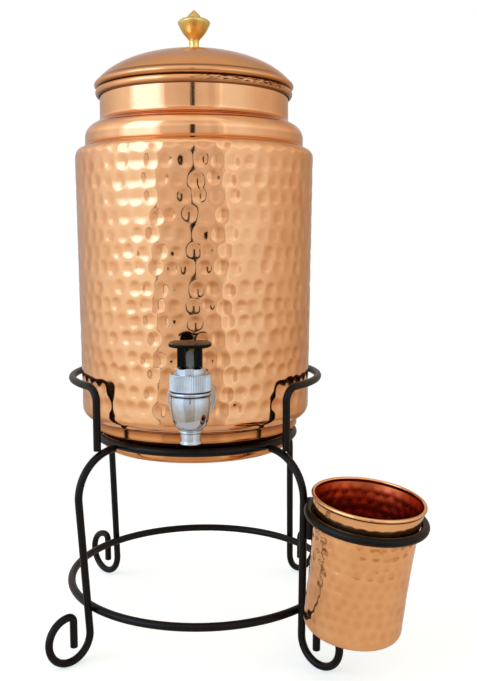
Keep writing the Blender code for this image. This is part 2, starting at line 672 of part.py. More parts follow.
def build_tap_seals(parent):
    """Washers shaped to the drum's wall, and the nut that clamps the tap."""
    location, rotation = shank_place()
    hole = SHANK_RADIUS + GAP
    front = wall_reach() + GAP + OUTER_WASHER_THICKNESS
    back = wall_reach() - OUTER_WASHER_THICKNESS
    ring = [(hole, back), (OUTER_WASHER_RADIUS, back), (OUTER_WASHER_RADIUS, front), (hole, front)]
    outer = place("tap_outer_washer", turned("tap_outer_washer", ring, SMALL_STEPS), "white_silicone",
                  parent, location, rotation)
    wall = cutter("cut_wall_outside", wall_solid("cut_wall_outside", GAP), parent, (0, 0, PAN_HEIGHT + GAP))
    combine(outer, "DIFFERENCE", wall)
    inside = wall_reach() - SHEET - GAP
    flat = inside - INNER_WASHER_THICKNESS
    ring = [(hole, flat), (INNER_WASHER_RADIUS, flat), (INNER_WASHER_RADIUS, inside + OVERRUN),
            (hole, inside + OVERRUN)]
    inner = place("tap_inner_washer", turned("tap_inner_washer", ring, SMALL_STEPS), "white_silicone",
                  parent, location, rotation)
    wall = cutter("cut_wall_inside", wall_solid("cut_wall_inside", -SHEET - GAP), parent,
                  (0, 0, PAN_HEIGHT + GAP))
    combine(inner, "INTERSECT", wall)
    low = flat - GAP - LOCK_NUT_HEIGHT
    nut = place("tap_lock_nut", hexagon("tap_lock_nut", LOCK_NUT_FLATS, low, flat - GAP), "chrome",
                parent, location, rotation)
    bore = cylinder("cut_lock_nut", hole, low - OVERRUN, flat + OVERRUN)
    combine(nut, "DIFFERENCE", cutter("cut_lock_nut", bore, parent, location, rotation))


def egg_radius(height):
    """Outer radius of the tap body's egg, widest at one height and drawn in below it."""
    share = (EGG_WIDEST - height) / (EGG_WIDEST - EGG_BOTTOM)
    return EGG_BOTTOM_RADIUS + (EGG_RADIUS - EGG_BOTTOM_RADIUS) * math.sqrt(1 - share ** 2)


def body_outline():
    """Outer outline of the tap's body from the spout's lip to the neck that the cap screws on."""
    groove = (FLANGE_BOTTOM + EGG_BOTTOM) / 2
    outline = [(0, SPOUT_END), (SPOUT_LIP_RADIUS, SPOUT_END), (SPOUT_LIP_RADIUS, SPOUT_END + SPOUT_LIP_HEIGHT / 2),
               (SPOUT_RADIUS, SPOUT_END + SPOUT_LIP_HEIGHT), (SPOUT_RADIUS, FLANGE_BOTTOM),
               (FLANGE_RADIUS, FLANGE_BOTTOM), (FLANGE_RADIUS, groove - FLANGE_GROOVE),
               (FLANGE_RADIUS - FLANGE_GROOVE, groove), (FLANGE_RADIUS, groove + FLANGE_GROOVE),
               (FLANGE_RADIUS, EGG_BOTTOM)]
    for step in range(EGG_STEPS + 1):
        turn = math.pi / 2 * step / EGG_STEPS
        height = EGG_WIDEST - (EGG_WIDEST - EGG_BOTTOM) * math.cos(turn)
        outline.append((egg_radius(height), height))
    outline += [(BODY_TOP_RADIUS, BODY_TOP), (BODY_NECK_RADIUS, BODY_TOP), (BODY_NECK_RADIUS, BODY_NECK_TOP),
                (0, BODY_NECK_TOP)]
    return outline


def build_tap_body(vessel, tap):
    """Tap body with its shank, bored from the vessel through the chamber to the spout."""
    body = place("tap_body", turned("tap_body", body_outline(), SMALL_STEPS, ring=False), "chrome", tap)
    location, rotation = shank_place()
    collar_back = wall_reach() + GAP + OUTER_WASHER_THICKNESS + GAP
    collar_front = collar_back + COLLAR_THICKNESS
    join = TAP_REACH - CHAMBER_RADIUS
    shank = [(0, SHANK_INNER_END), (SHANK_RADIUS, SHANK_INNER_END), (SHANK_RADIUS, collar_back),
             (COLLAR_RADIUS, collar_back), (COLLAR_RADIUS, collar_front), (SHANK_NECK_RADIUS, collar_front),
             (SHANK_NECK_RADIUS, join), (0, join)]
    mesh = turned("join_shank", shank, SMALL_STEPS, ring=False)
    combine(body, "UNION", cutter("join_shank", mesh, vessel, location, rotation))
    chamber = [(0, SPOUT_END - OVERRUN), (SPOUT_BORE, SPOUT_END - OVERRUN), (SPOUT_BORE, CHAMBER_FLOOR),
               (CHAMBER_RADIUS, CHAMBER_FLOOR), (CHAMBER_RADIUS, BODY_NECK_TOP + OVERRUN),
               (0, BODY_NECK_TOP + OVERRUN)]
    mesh = turned("cut_chamber", chamber, SMALL_STEPS, ring=False)
    combine(body, "DIFFERENCE", cutter("cut_chamber", mesh, tap))
    mesh = cylinder("cut_shank_bore", SHANK_BORE, SHANK_INNER_END - OVERRUN, TAP_REACH)
    combine(body, "DIFFERENCE", cutter("cut_shank_bore", mesh, vessel, location, rotation))


def flute(mesh, low, high):
    """Press every second line of a turned wall in, which leaves grip flutes between two heights."""
    steps = 2 * CAP_FLUTES
    for point in mesh.vertices:
        radius = math.hypot(point.co.x, point.co.y)
        line = round(math.atan2(point.co.y, point.co.x) / math.tau * steps)
        outside = radius > CAP_RADIUS - CAP_FLUTE_DEPTH
        if line % 2 and outside and low <= point.co.z <= high:
            share = 1 - CAP_FLUTE_DEPTH / radius
            point.co.x *= share
            point.co.y *= share


def build_tap_cap(tap):
    """Fluted cap screwed on the body, with the gasket below it and the stem's seal in it."""
    low = BODY_TOP + GAP
    bead_top = low + CAP_BEAD_HEIGHT
    flute_low = bead_top + CAP_FLUTE_DEPTH
    shelf = BODY_NECK_TOP + GAP + GASKET_HEIGHT + GAP
    stem_hole = STEM_RADIUS + GAP
    seal_top = SPRING_ROOM_TOP + GAP + SEAL_HEIGHT + GAP
    bore = CAP_RADIUS - CAP_WALL
    outline = [(bore, low), (CAP_RADIUS, low), (CAP_BEAD_RADIUS, low + CAP_BEAD_HEIGHT / 4),
               (CAP_BEAD_RADIUS, bead_top - CAP_BEAD_HEIGHT / 4), (CAP_RADIUS - CAP_FLUTE_DEPTH, bead_top),
               (CAP_RADIUS, flute_low), (CAP_RADIUS, CAP_TOP - CAP_CHAMFER), (CAP_RADIUS - CAP_CHAMFER, CAP_TOP),
               (BONNET_RADIUS, CAP_TOP), (BONNET_RADIUS, BONNET_TOP - CAP_CHAMFER / 2),
               (BONNET_RADIUS - CAP_CHAMFER / 2, BONNET_TOP), (stem_hole, BONNET_TOP), (stem_hole, seal_top),
               (SEAL_RADIUS + GAP, seal_top), (SEAL_RADIUS + GAP, SPRING_ROOM_TOP),
               (SPRING_ROOM_RADIUS, SPRING_ROOM_TOP), (SPRING_ROOM_RADIUS, shelf), (bore, shelf)]
    mesh = turned("tap_cap", outline, 2 * CAP_FLUTES)
    flute(mesh, flute_low - WELD, CAP_TOP - CAP_CHAMFER + WELD)
    place("tap_cap", mesh, "chrome", tap)
    gasket = [(GASKET_INNER_RADIUS, 0), (BODY_NECK_RADIUS, 0), (BODY_NECK_RADIUS, GASKET_HEIGHT),
              (GASKET_INNER_RADIUS, GASKET_HEIGHT)]
    place("cap_gasket", turned("cap_gasket", gasket, SMALL_STEPS), "white_silicone", tap,
          (0, 0, BODY_NECK_TOP + GAP))
    seal = [(stem_hole, 0), (SEAL_RADIUS, 0), (SEAL_RADIUS, SEAL_HEIGHT), (stem_hole, SEAL_HEIGHT)]
    place("stem_seal", turned("stem_seal", seal, SMALL_STEPS), "white_silicone", tap,
          (0, 0, SPRING_ROOM_TOP + GAP))


def build_tap_spring(tap):
    """Spring between the stem's collar and the seal, one unbroken tube."""
    low = STEM_COLLAR_BOTTOM + STEM_COLLAR_HEIGHT + GAP + SPRING_WIRE_RADIUS
    high = SPRING_ROOM_TOP - SPRING_WIRE_RADIUS
    count = SPRING_TURNS * SPRING_TURN_POINTS
    points = []
    for step in range(count + 1):
        turn = math.tau * step / SPRING_TURN_POINTS
        height = low + (high - low) * step / count
        points.append(Vector((SPRING_MEAN_RADIUS * math.cos(turn), SPRING_MEAN_RADIUS * math.sin(turn), height)))
    apart = min((points[step + SPRING_TURN_POINTS] - points[step]).length
                for step in range(count + 1 - SPRING_TURN_POINTS))
    print("least gap between the spring's turns, mm:", round((apart - 2 * SPRING_WIRE_RADIUS) * 1000, 2))
    bar("tap_spring", points, 2 * SPRING_WIRE_RADIUS, "steel", tap, resolution=SPRING_STEPS)


def build_tap_stem(tap):
    """Stem with its silicone seat and the lever's pin, on an empty that rises with the lever."""
    parent = empty("stem_slide", tap)
    seat_base = CHAMBER_FLOOR + GAP
    tip = seat_base + SEAT_SKIN + GAP
    collar_top = STEM_COLLAR_BOTTOM + STEM_COLLAR_HEIGHT
    outline = [(0, tip), (STEM_TIP_RADIUS, tip), (STEM_TIP_RADIUS, STEM_COLLAR_BOTTOM),
               (STEM_COLLAR_RADIUS, STEM_COLLAR_BOTTOM), (STEM_COLLAR_RADIUS, collar_top),
               (STEM_RADIUS, collar_top), (STEM_RADIUS, STEM_HEAD_BOTTOM + OVERRUN),
               (0, STEM_HEAD_BOTTOM + OVERRUN)]
    stem = place("tap_stem", turned("tap_stem", outline, SMALL_STEPS, ring=False), "grey_plastic", parent)
    half = STEM_HEAD_WIDTH / 2
    gable = [(-half, STEM_HEAD_BOTTOM), (half, STEM_HEAD_BOTTOM), (half, STEM_HEAD_SHOULDER),
             (0, STEM_HEAD_TOP), (-half, STEM_HEAD_SHOULDER)]
    head = slab("join_head", gable, -STEM_HEAD_DEPTH / 2, STEM_HEAD_DEPTH / 2)
    combine(stem, "UNION", cutter("join_head", head, parent, rotation=(math.radians(90), 0, 0)))
    across = (0, math.radians(90), 0)
    reach = PLATE_WIDTH / 2
    hole = cutter("cut_pin", cylinder("cut_pin", PIN_RADIUS + GAP, -reach, reach), parent,
                  (0, 0, PIN_HEIGHT), across)
    combine(stem, "DIFFERENCE", hole)
    end = STEM_HEAD_WIDTH / 2 + GAP + CHEEK_THICKNESS
    place("lever_pin", cylinder("lever_pin", PIN_RADIUS, -end, end), "steel", parent,
          (0, 0, PIN_HEIGHT), across)
    pocket = STEM_TIP_RADIUS + GAP
    seat = [(0, 0), (SEAT_RADIUS, 0), (SEAT_RADIUS, SEAT_HEIGHT), (pocket, SEAT_HEIGHT), (pocket, SEAT_SKIN),
            (0, SEAT_SKIN)]
    place("tap_seat", turned("tap_seat", seat, SMALL_STEPS, ring=False), "white_silicone", parent,
          (0, 0, seat_base))
    return parent


def cam_points():
    """Cam below the pin that lifts the stem evenly: its lowest point sinks by the throw times the turn."""
    rest = PIN_HEIGHT - BONNET_TOP - GAP
    points = []
    for step in range(CAM_STEPS + 1):
        turn = math.radians(LEVER_RANGE) * step / CAM_STEPS
        depth = rest + CAM_THROW * turn
        forward = CAM_THROW * math.cos(turn) + depth * math.sin(turn)
        points.append((-forward, CAM_THROW * math.sin(turn) - depth * math.cos(turn)))
    return points


def build_lever(stem):
    """Black lever: an oval plate on two cheeks that straddle the stem and rock on the bonnet."""
    parent = empty("lever_tilt", stem, (0, 0, PIN_HEIGHT))
    rest = PIN_HEIGHT - BONNET_TOP - GAP
    rise = PLATE_BOTTOM + PLATE_THICKNESS / 2
    cam = cam_points()
    outline = [(CHEEK_BACK, -rest)] + cam + [(cam[-1][0], rise), (CHEEK_BACK, rise)]
    inner = STEM_HEAD_WIDTH / 2 + GAP
    outer = inner + CHEEK_THICKNESS
    half_width = PLATE_WIDTH / 2
    half_depth = PLATE_DEPTH / 2
    plate = []
    for step in range(PLATE_STEPS):
        turn = math.tau * step / PLATE_STEPS
        across = math.copysign(abs(math.cos(turn)) ** (2 / PLATE_POWER), math.cos(turn))
        along = math.copysign(abs(math.sin(turn)) ** (2 / PLATE_POWER), math.sin(turn))
        plate.append((half_width * across, PLATE_BACK - half_depth + half_depth * along))
    lever = place("tap_lever", slab("tap_lever", plate, PLATE_BOTTOM, PLATE_BOTTOM + PLATE_THICKNESS),
                  "black_plastic", parent)
    # This rotation takes the outline's first axis to Y, its second to Z and its height to X
    upright = Matrix(((0, 0, 1), (1, 0, 0), (0, 1, 0))).to_euler()
    for side, low in (("left", -outer), ("right", inner)):
        cheek = slab("join_cheek_" + side, outline, low, low + CHEEK_THICKNESS)
        combine(lever, "UNION", cutter("join_cheek_" + side, cheek, parent, rotation=upright))
    hole = cylinder("cut_lever_pin", PIN_RADIUS + GAP, -half_width, half_width)
    combine(lever, "DIFFERENCE", cutter("cut_lever_pin", hole, parent, rotation=(0, math.radians(90), 0)))


def build_tap(vessel):
    """Whole tap on the vessel's front."""
    tap = empty("tap", vessel, (0, -TAP_REACH, SHANK_HEIGHT))
    build_tap_seals(vessel)
    build_tap_body(vessel, tap)
    build_tap_cap(tap)
    build_tap_spring(tap)
    build_lever(build_tap_stem(tap))


def centre_on_floor(root):
    """Move the whole object so that the middle of its box stands over the origin."""
    bpy.context.view_layer.update()
    graph = bpy.context.evaluated_depsgraph_get()
    lows = []
    highs = []
    for piece in bpy.data.objects:
        if piece.type != "MESH" or piece.hide_render:
            continue
        shaped = piece.evaluated_get(graph)
        mesh = shaped.to_mesh()
        points = numpy.array([shaped.matrix_world @ vertex.co for vertex in mesh.vertices])
        lows.append(points.min(axis=0))
        highs.append(points.max(axis=0))
        shaped.to_mesh_clear()
    middle = (numpy.min(lows, axis=0) + numpy.max(highs, axis=0)) / 2
    root.location = (-middle[0], -middle[1], 0)


def main():
    """Build the dispenser in an emptied scene."""
    for old in list(bpy.data.objects):
        bpy.data.objects.remove(old)
    root = empty("dispenser")
    build_stand(root)
    build_tumbler(root)
    vessel = empty("vessel", root, (0, 0, pan_base_height()))
    build_vessel(vessel)
    build_lid(vessel)
    build_tap(vessel)
    centre_on_floor(root)


main()
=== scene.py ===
"""Looks of the copper water dispenser: hammered vessel, beaded lid, lever tap, scrolled iron stand and tumbler.

Lengths are metres, +Z is up, the tap faces -Y. Azimuths are degrees from -Y towards +X.
Pieces are surfaces worked out with numpy, laid in the same places as the CAD nodes that they stand for.
"""

import logging
import math
from dataclasses import dataclass, field
from enum import Enum
from typing import Any, Optional

import bpy
import numpy as np
from mathutils import Matrix, Vector


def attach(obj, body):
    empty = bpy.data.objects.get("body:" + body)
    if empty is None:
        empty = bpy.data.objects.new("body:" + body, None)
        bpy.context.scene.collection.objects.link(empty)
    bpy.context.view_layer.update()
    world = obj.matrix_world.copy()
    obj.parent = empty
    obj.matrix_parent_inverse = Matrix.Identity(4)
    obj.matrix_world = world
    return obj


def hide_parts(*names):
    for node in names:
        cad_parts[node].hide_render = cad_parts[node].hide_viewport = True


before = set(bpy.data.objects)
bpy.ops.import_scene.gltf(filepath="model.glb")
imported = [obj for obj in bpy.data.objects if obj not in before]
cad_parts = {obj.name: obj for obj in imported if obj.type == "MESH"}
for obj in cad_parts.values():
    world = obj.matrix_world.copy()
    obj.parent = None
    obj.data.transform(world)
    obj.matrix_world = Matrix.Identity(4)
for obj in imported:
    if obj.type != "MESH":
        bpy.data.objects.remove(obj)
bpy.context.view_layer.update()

LOG = logging.getLogger("dispenser")
GAP = 0.0003  # between pieces that touch
SHEET = 0.0010  # thickness of the copper
AXIS = np.array((-0.028102, 0.023721, 0.0))  # of the vessel and the stand
PAN_BASE = 0.142967  # height of the pan's underside
TAP_REACH = 0.1100  # from the vessel's axis to the tap's
SHANK_HEIGHT = 0.193967  # of the shank's axis above the floor
LEAN = 7.4  # degrees by which the holder's ring and the tumbler lean
LEAN_AZIMUTH = 50.2  # where they lean to
HAMMERED_CREASE = 60.0  # degrees, so that no edge of a hammer mark is sharp
UP = np.array((0.0, 0.0, 1.0))
UPRIGHT_TO_LEVEL = Matrix.Rotation(math.radians(90), 4, "X")  # lays +Z along -Y

Pair = tuple[float, float]
Triple = tuple[float, float, float]
Stop = tuple[float, str, float]  # angle in degrees, sRGB hex code, strength
Tree = bpy.types.NodeTree
Socket = bpy.types.NodeSocket


class Body(Enum):
    """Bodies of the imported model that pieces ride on."""

    STAND = "stand"
    VESSEL = "vessel"
    LID = "lid"
    STEM = "tap_stem"
    LEVER = "tap_lever"
    TUMBLER = "tumbler"


class Slot(Enum):
    """Material slots of the record."""

    HAMMERED = "hammered_copper"
    POLISHED = "polished_copper"
    TUMBLER = "tumbler_copper"
    BRASS = "brass"
    CHROME = "chrome"
    IRON = "black_iron"
    BLACK_PLASTIC = "black_plastic"
    GREY_PLASTIC = "grey_plastic"
    SILICONE = "white_silicone"
    STEEL = "steel"


# Shapes


@dataclass
class Surface:
    """Closed surface: points, faces of four and of three points, and named values at the points."""

    points: np.ndarray
    quads: np.ndarray
    tris: np.ndarray
    marks: dict[str, np.ndarray] = field(default_factory=dict)

    def outward(self) -> "Surface":
        """Same surface with its faces pointing out, judged by the sign of its volume."""
        fans = np.vstack((self.quads[:, (0, 1, 2)], self.quads[:, (0, 2, 3)], self.tris))
        a, b, c = (self.points[fans[:, corner]] for corner in range(3))
        if np.einsum("ij,ij->i", a, np.cross(b, c)).sum() >= 0:
            return self
        return Surface(self.points, self.quads[:, ::-1], self.tris[:, ::-1], self.marks)

    def moved(self, place: Matrix) -> "Surface":
        """Surface carried by a rigid 4 x 4 placement."""
        turn = np.array(place.to_3x3())
        return Surface(self.points @ turn.T + np.array(place.translation), self.quads, self.tris, self.marks)


def joined(*parts: Surface) -> Surface:
    """Several surfaces as one, with the marks that the first one has."""
    starts = np.cumsum([0] + [len(part.points) for part in parts[:-1]])
    marks = {name: np.concatenate([part.marks.get(name, np.zeros(len(part.points))) for part in parts])
             for name in parts[0].marks}
    return Surface(np.vstack([part.points for part in parts]),
                   np.vstack([part.quads + start for part, start in zip(parts, starts)]),
                   np.vstack([part.tris + start for part, start in zip(parts, starts)]), marks)


def woven(rows: int, columns: int, ring: bool, first_pole: bool, last_pole: bool) -> tuple[np.ndarray, np.ndarray]:
    """Faces of a grid whose columns go round, with a fan to a pole before the first and after the last row.

    Args:
        rows: rows of the grid, poles left out.
        columns: points in each row.
        ring: whether the last row meets the first again.
        first_pole: whether a pole point follows the grid's points, for the first row.
        last_pole: whether a pole point comes after that, for the last row.

    Returns:
        Faces of four points and faces of three points.
    """
    lower = np.arange(rows if ring else rows - 1)[:, None] * columns
    upper = (lower + columns) % (rows * columns)
    here = np.arange(columns)[None, :]
    after = (here + 1) % columns
    quads = np.stack((lower + here, lower + after, upper + after, upper + here), axis=-1).reshape(-1, 4)
    tris = np.empty((0, 3), int)
    pole = rows * columns
    if first_pole:
        tris = np.vstack((tris, np.stack((np.full(columns, pole), after[0], here[0]), axis=-1)))
        pole += 1
    if last_pole:
        top = (rows - 1) * columns
        tris = np.vstack((tris, np.stack((np.full(columns, pole), top + here[0], top + after[0]), axis=-1)))
    return quads, tris


def around(steps: int) -> np.ndarray:
    """Angles in radians that part a whole turn into equal steps."""
    return 2 * np.pi * np.arange(steps) / steps


def turned(profile: np.ndarray, steps: int, ring: bool = False, dents: Optional[np.ndarray] = None,
           **marks: np.ndarray) -> Surface:
    """Surface of revolution about Z: (r sin t, -r cos t, z), with t the azimuth, for each profile point (r, z).

    Args:
        profile: (r, z) points, outer side first and upwards; a chain may start and end on the axis.
        steps: columns round the axis.
        ring: whether the profile is a closed ring.
        dents: depth by which each point, by row and column, is moved against the profile's outward side.
        marks: named values of the points, by row or by row and column.

    Returns:
        The closed surface.
    """
    azimuth = around(steps)
    radius = np.repeat(profile[:, :1], steps, axis=1)
    height = np.repeat(profile[:, 1:], steps, axis=1)
    if dents is not None:
        slope = np.gradient(profile, axis=0)
        slope /= np.linalg.norm(slope, axis=1)[:, None]
        radius = radius - dents * slope[:, 1:]
        height = height + dents * slope[:, :1]
    first_pole, last_pole = (not ring and profile[row, 0] < 1e-9 for row in (0, -1))
    poles = np.array([row for row, there in ((0, first_pole), (-1, last_pole)) if there], int)
    keep = slice(int(first_pole), len(profile) - int(last_pole))
    grid = np.stack((radius * np.sin(azimuth), -radius * np.cos(azimuth), height), axis=-1)[keep]
    tips = np.column_stack((np.zeros((len(poles), 2)), profile[poles, 1]))
    wide = {name: np.broadcast_to(values, radius.shape) for name, values in marks.items()}
    quads, tris = woven(len(grid), steps, ring, first_pole, last_pole)
    return Surface(np.vstack((grid.reshape(-1, 3), tips)), quads, tris,
                   {name: np.concatenate((values[keep].ravel(), values[poles, 0]))
                    for name, values in wide.items()}).outward()


def crevice(profile: np.ndarray, heights: tuple[float, ...], seams: tuple[Pair, ...], depth: float = 0.004,
            power: int = 2) -> np.ndarray:
    """Painted shade on each row of a turned surface, darkening its crevices: strength x exp(-((z - height) /
    width)^power), the most of its seams.

    Args:
        profile: (r, z) points of the surface.
        heights: height of each seam.
        seams: width and strength of each seam.
        depth: how far inside the widest radius a point may lie and still be on the outside.
        power: even number; the higher, the sharper the edges of a seam.

    Returns:
        A column with a value for each row.
    """
    outside = profile[:, 0] > profile[:, 0].max() - depth
    rows = [strength * np.exp(-((profile[:, 1] - height) / width) ** power)
            for height, (width, strength) in zip(heights, seams)]
    return (np.max(rows, axis=0) * outside)[:, None]


def swept(path: np.ndarray, radii: np.ndarray, side: np.ndarray, sides: int, ring: bool = False) -> Surface:
    """Round bar: path + radius x (cos a u + sin a v), with u the given side square to the path and v across it.

    Args:
        path: points of the centre line.
        radii: radius at each point.
        side: direction, or one for each point, that is never along the path.
        sides: points round the bar.
        ring: whether the bar closes on itself; otherwise a pole closes each end.

    Returns:
        The closed surface.
    """
    if ring:
        along = np.roll(path, -1, axis=0) - np.roll(path, 1, axis=0)
    else:
        along = np.gradient(path, axis=0)
    along /= np.linalg.norm(along, axis=1)[:, None]
    first = side - np.einsum("ij,ij->i", np.broadcast_to(side, path.shape), along)[:, None] * along
    first /= np.linalg.norm(first, axis=1)[:, None]
    second = np.cross(along, first)
    turn = around(sides)[None, :, None]
    grid = path[:, None] + radii[:, None, None] * (np.cos(turn) * first[:, None] + np.sin(turn) * second[:, None])
    points = grid.reshape(-1, 3)
    if not ring:
        points = np.vstack((points, path[:1], path[-1:]))
    quads, tris = woven(len(path), sides, ring, not ring, not ring)
    return Surface(points, quads, tris).outward()


def rounded_bar(path: np.ndarray, radius: float, rounding: float, side: np.ndarray, sides: int = 20) -> Surface:
    """Bar whose end faces have a rounded edge: quarter circles of the rounding's radius join wall and face."""
    turn = np.radians(np.linspace(0, 90, 5))
    back = rounding * (1 - np.cos(turn))[:, None]
    size = radius - rounding + rounding * np.sin(turn)
    start = (path[1] - path[0]) / np.linalg.norm(path[1] - path[0])
    end = (path[-2] - path[-1]) / np.linalg.norm(path[-2] - path[-1])
    line = np.vstack((path[0] + back * start, path[1:-1], path[-1] + back[::-1] * end))
    sizes = np.concatenate((size, np.full(len(path) - 2, radius), size[::-1]))
    return swept(line, sizes, side if side.ndim == 1 else spread(side, len(turn) - 1), sides)


def spread(rows: np.ndarray, extra: int) -> np.ndarray:
    """Rows with the first and the last one repeated some more times."""
    return np.vstack((np.repeat(rows[:1], extra, axis=0), rows, np.repeat(rows[-1:], extra, axis=0)))


def pillow(outline: np.ndarray, low: float, high: float, rounding: float) -> Surface:
    """Block of an (x, y) outline raised along Z, its edges rounded by a quarter circle.

    Row k lies at inset c (1 - sin a) from the outline and at height c (1 - cos a) from the face, with c the rounding.
    """
    along = np.roll(outline, -1, axis=0) - np.roll(outline, 1, axis=0)
    normal = np.column_stack((along[:, 1], -along[:, 0]))
    normal /= np.linalg.norm(normal, axis=1)[:, None]
    centre = outline.mean(axis=0)
    if np.einsum("ij,ij->i", normal, outline - centre).sum() < 0:
        normal = -normal
    turn = np.radians(np.linspace(0, 90, 6))
    inset = np.concatenate((rounding * (1 - np.sin(turn)), rounding * (1 - np.sin(turn))[::-1]))
    height = np.concatenate((low + rounding * (1 - np.cos(turn)), (high - rounding * (1 - np.cos(turn)))[::-1]))
    grid = np.empty((len(inset), len(outline), 3))
    grid[..., :2] = outline[None] - inset[:, None, None] * normal[None]
    grid[..., 2] = height[:, None]
    poles = np.array(((*centre, low), (*centre, high)))
    quads, tris = woven(len(inset), len(outline), False, True, True)
    return Surface(np.vstack((grid.reshape(-1, 3), poles)), quads, tris).outward()


def arc(centre: Pair, radius: float, start: float, end: float, steps: int = 10) -> np.ndarray:
    """Points of an arc, centre + radius x (cos, sin), between two angles in degrees."""
    turn = np.radians(np.linspace(start, end, steps + 1))
    return np.column_stack((centre[0] + radius * np.cos(turn), centre[1] + radius * np.sin(turn)))


def chained(*runs: Any) -> np.ndarray:
    """Runs of points as one chain, with points that repeat the one before left out."""
    points = np.vstack([np.atleast_2d(np.array(run, float)) for run in runs])
    apart = np.linalg.norm(np.diff(points, axis=0), axis=1)
    return points[np.concatenate(((True,), apart > 1e-7))]


def refined(points: np.ndarray, longest: float) -> np.ndarray:
    """Chain with every run cut into equal parts no longer than a length."""
    lengths = np.linalg.norm(np.diff(points, axis=0), axis=1)
    counts = np.maximum(1, np.ceil(lengths / longest - 1e-6)).astype(int)
    run = np.repeat(np.arange(len(counts)), counts)
    share = (np.arange(counts.sum()) - np.repeat(np.cumsum(counts) - counts, counts)) / np.repeat(counts, counts)
    return np.vstack((points[run] + share[:, None] * (points[run + 1] - points[run]), points[-1:]))


def eased(points: np.ndarray, cut: float, steps: int = 4) -> np.ndarray:
    """Chain whose inner corners are rounded: (1-t)^2 A + 2t(1-t) P + t^2 B, with A and B a cut away from corner P."""
    before = points[:-2] - points[1:-1]
    after = points[2:] - points[1:-1]
    reach = [np.minimum(cut / np.linalg.norm(way, axis=1), 0.45)[:, None] for way in (before, after)]
    ends = [points[1:-1] + size * way for size, way in zip(reach, (before, after))]
    t = np.linspace(0, 1, steps + 1)[None, :, None]
    bend = (1 - t) ** 2 * ends[0][:, None] + 2 * t * (1 - t) * points[1:-1, None] + t ** 2 * ends[1][:, None]
    return np.vstack((points[:1], bend.reshape(-1, 2), points[-1:]))


def flowing(points: np.ndarray, steps: int) -> np.ndarray:
    """Smooth chain through points by the Catmull-Rom formula, with each run cut into steps."""
    wide = np.vstack((2 * points[:1] - points[1:2], points, 2 * points[-1:] - points[-2:-1]))
    a, b, c, d = (wide[start:len(wide) - 3 + start, None] for start in range(4))
    t = (np.arange(steps) / steps)[None, :, None]
    run = 0.5 * (2 * b + (c - a) * t + (2 * a - 5 * b + 4 * c - d) * t ** 2 + (3 * b - a - 3 * c + d) * t ** 3)
    return np.vstack((run.reshape(-1, points.shape[1]), points[-1:]))


def way_of(azimuth: float) -> np.ndarray:
    """Level unit vector that points along an azimuth."""
    turn = math.radians(azimuth)
    return np.array((math.sin(turn), -math.cos(turn), 0.0))


def on_axis(height: float, forward: float = 0.0) -> Matrix:
    """Placement on the vessel's axis at a height above the floor, or some way in front of that axis."""
    return Matrix.Translation((AXIS[0], AXIS[1] - forward, height))


def leaning(size: int) -> Matrix:
    """Turn by which the holder's ring and the tumbler lean, as a matrix of 3 or 4 rows."""
    return Matrix.Rotation(math.radians(LEAN), size, Vector(np.cross(UP, way_of(LEAN_AZIMUTH))))


def fading(value: np.ndarray, zero: Any, one: Any) -> np.ndarray:
    """Share that goes evenly from 0 at one value to 1 at another."""
    return np.clip((value - zero) / (one - zero), 0, 1)


@dataclass(frozen=True)
class HammerMarks:
    """Rows of dished hammer marks: at distance d from its middle a mark is depth x (1 - (d/reach)^2)^1.5 deep.

    Each row starts at a place of its own and sits a little high or low, as marks set by eye do.
    """

    across: float  # from mark to mark round the wall
    between: float  # from row to row
    reach: float  # radius of a mark
    depth: float
    wander: float  # by which a mark may lie off its place
    seed: int
    rows: int = 64  # after which the draws repeat
    depths: Pair = (0.62, 1.18)  # least and most, times the depth
    widths: Pair = (0.88, 1.10)  # the same for the reach
    staggers: Pair = (0.2, 0.8)  # by which a row starts after the one below, in marks

    def depth_map(self, columns: int, height: np.ndarray, girth: float) -> np.ndarray:
        """Depth of the marks on a turned wall.

        Args:
            columns: points round the wall.
            height: height of each of its rows above the middle of the first row of marks.
            girth: way round the whole wall, which a whole number of marks fills.

        Returns:
            The depth at each point, the sum over the nine nearest marks.
        """
        along = girth * np.arange(columns)[None, :] / columns
        count = round(girth / self.across)
        pitch = girth / count
        luck = np.random.default_rng(self.seed)
        rows = self.rows
        stray = luck.uniform(-self.wander, self.wander, (rows, count, 2))
        deep = luck.uniform(*self.depths, (rows, count))
        wide = luck.uniform(*self.widths, (rows, count))
        start = np.cumsum(luck.uniform(*self.staggers, rows))
        lift = luck.uniform(-self.wander, self.wander, rows)
        total = np.zeros(np.broadcast(along, height).shape)
        nearest_row = np.rint(height / self.between).astype(int)
        for row_step in (-1, 0, 1):
            row = nearest_row + row_step
            stagger = start[row % rows]
            nearest = np.rint(along / pitch - stagger).astype(int)
            for step in (-1, 0, 1):
                column = nearest + step
                key = (row % rows, column % count)
                far_across = along - (column + stagger) * pitch - stray[key + (0,)]
                far_up = height - row * self.between - lift[row % rows] - stray[key + (1,)]
                share = (far_across ** 2 + far_up ** 2) / (self.reach * wide[key]) ** 2
                total += self.depth * deep[key] * np.clip(1 - share, 0, None) ** 1.5
        return total


@dataclass(frozen=True)
class Finish:
    """Material, and the slot of the record that it is for."""

    slot: Slot
    material: bpy.types.Material


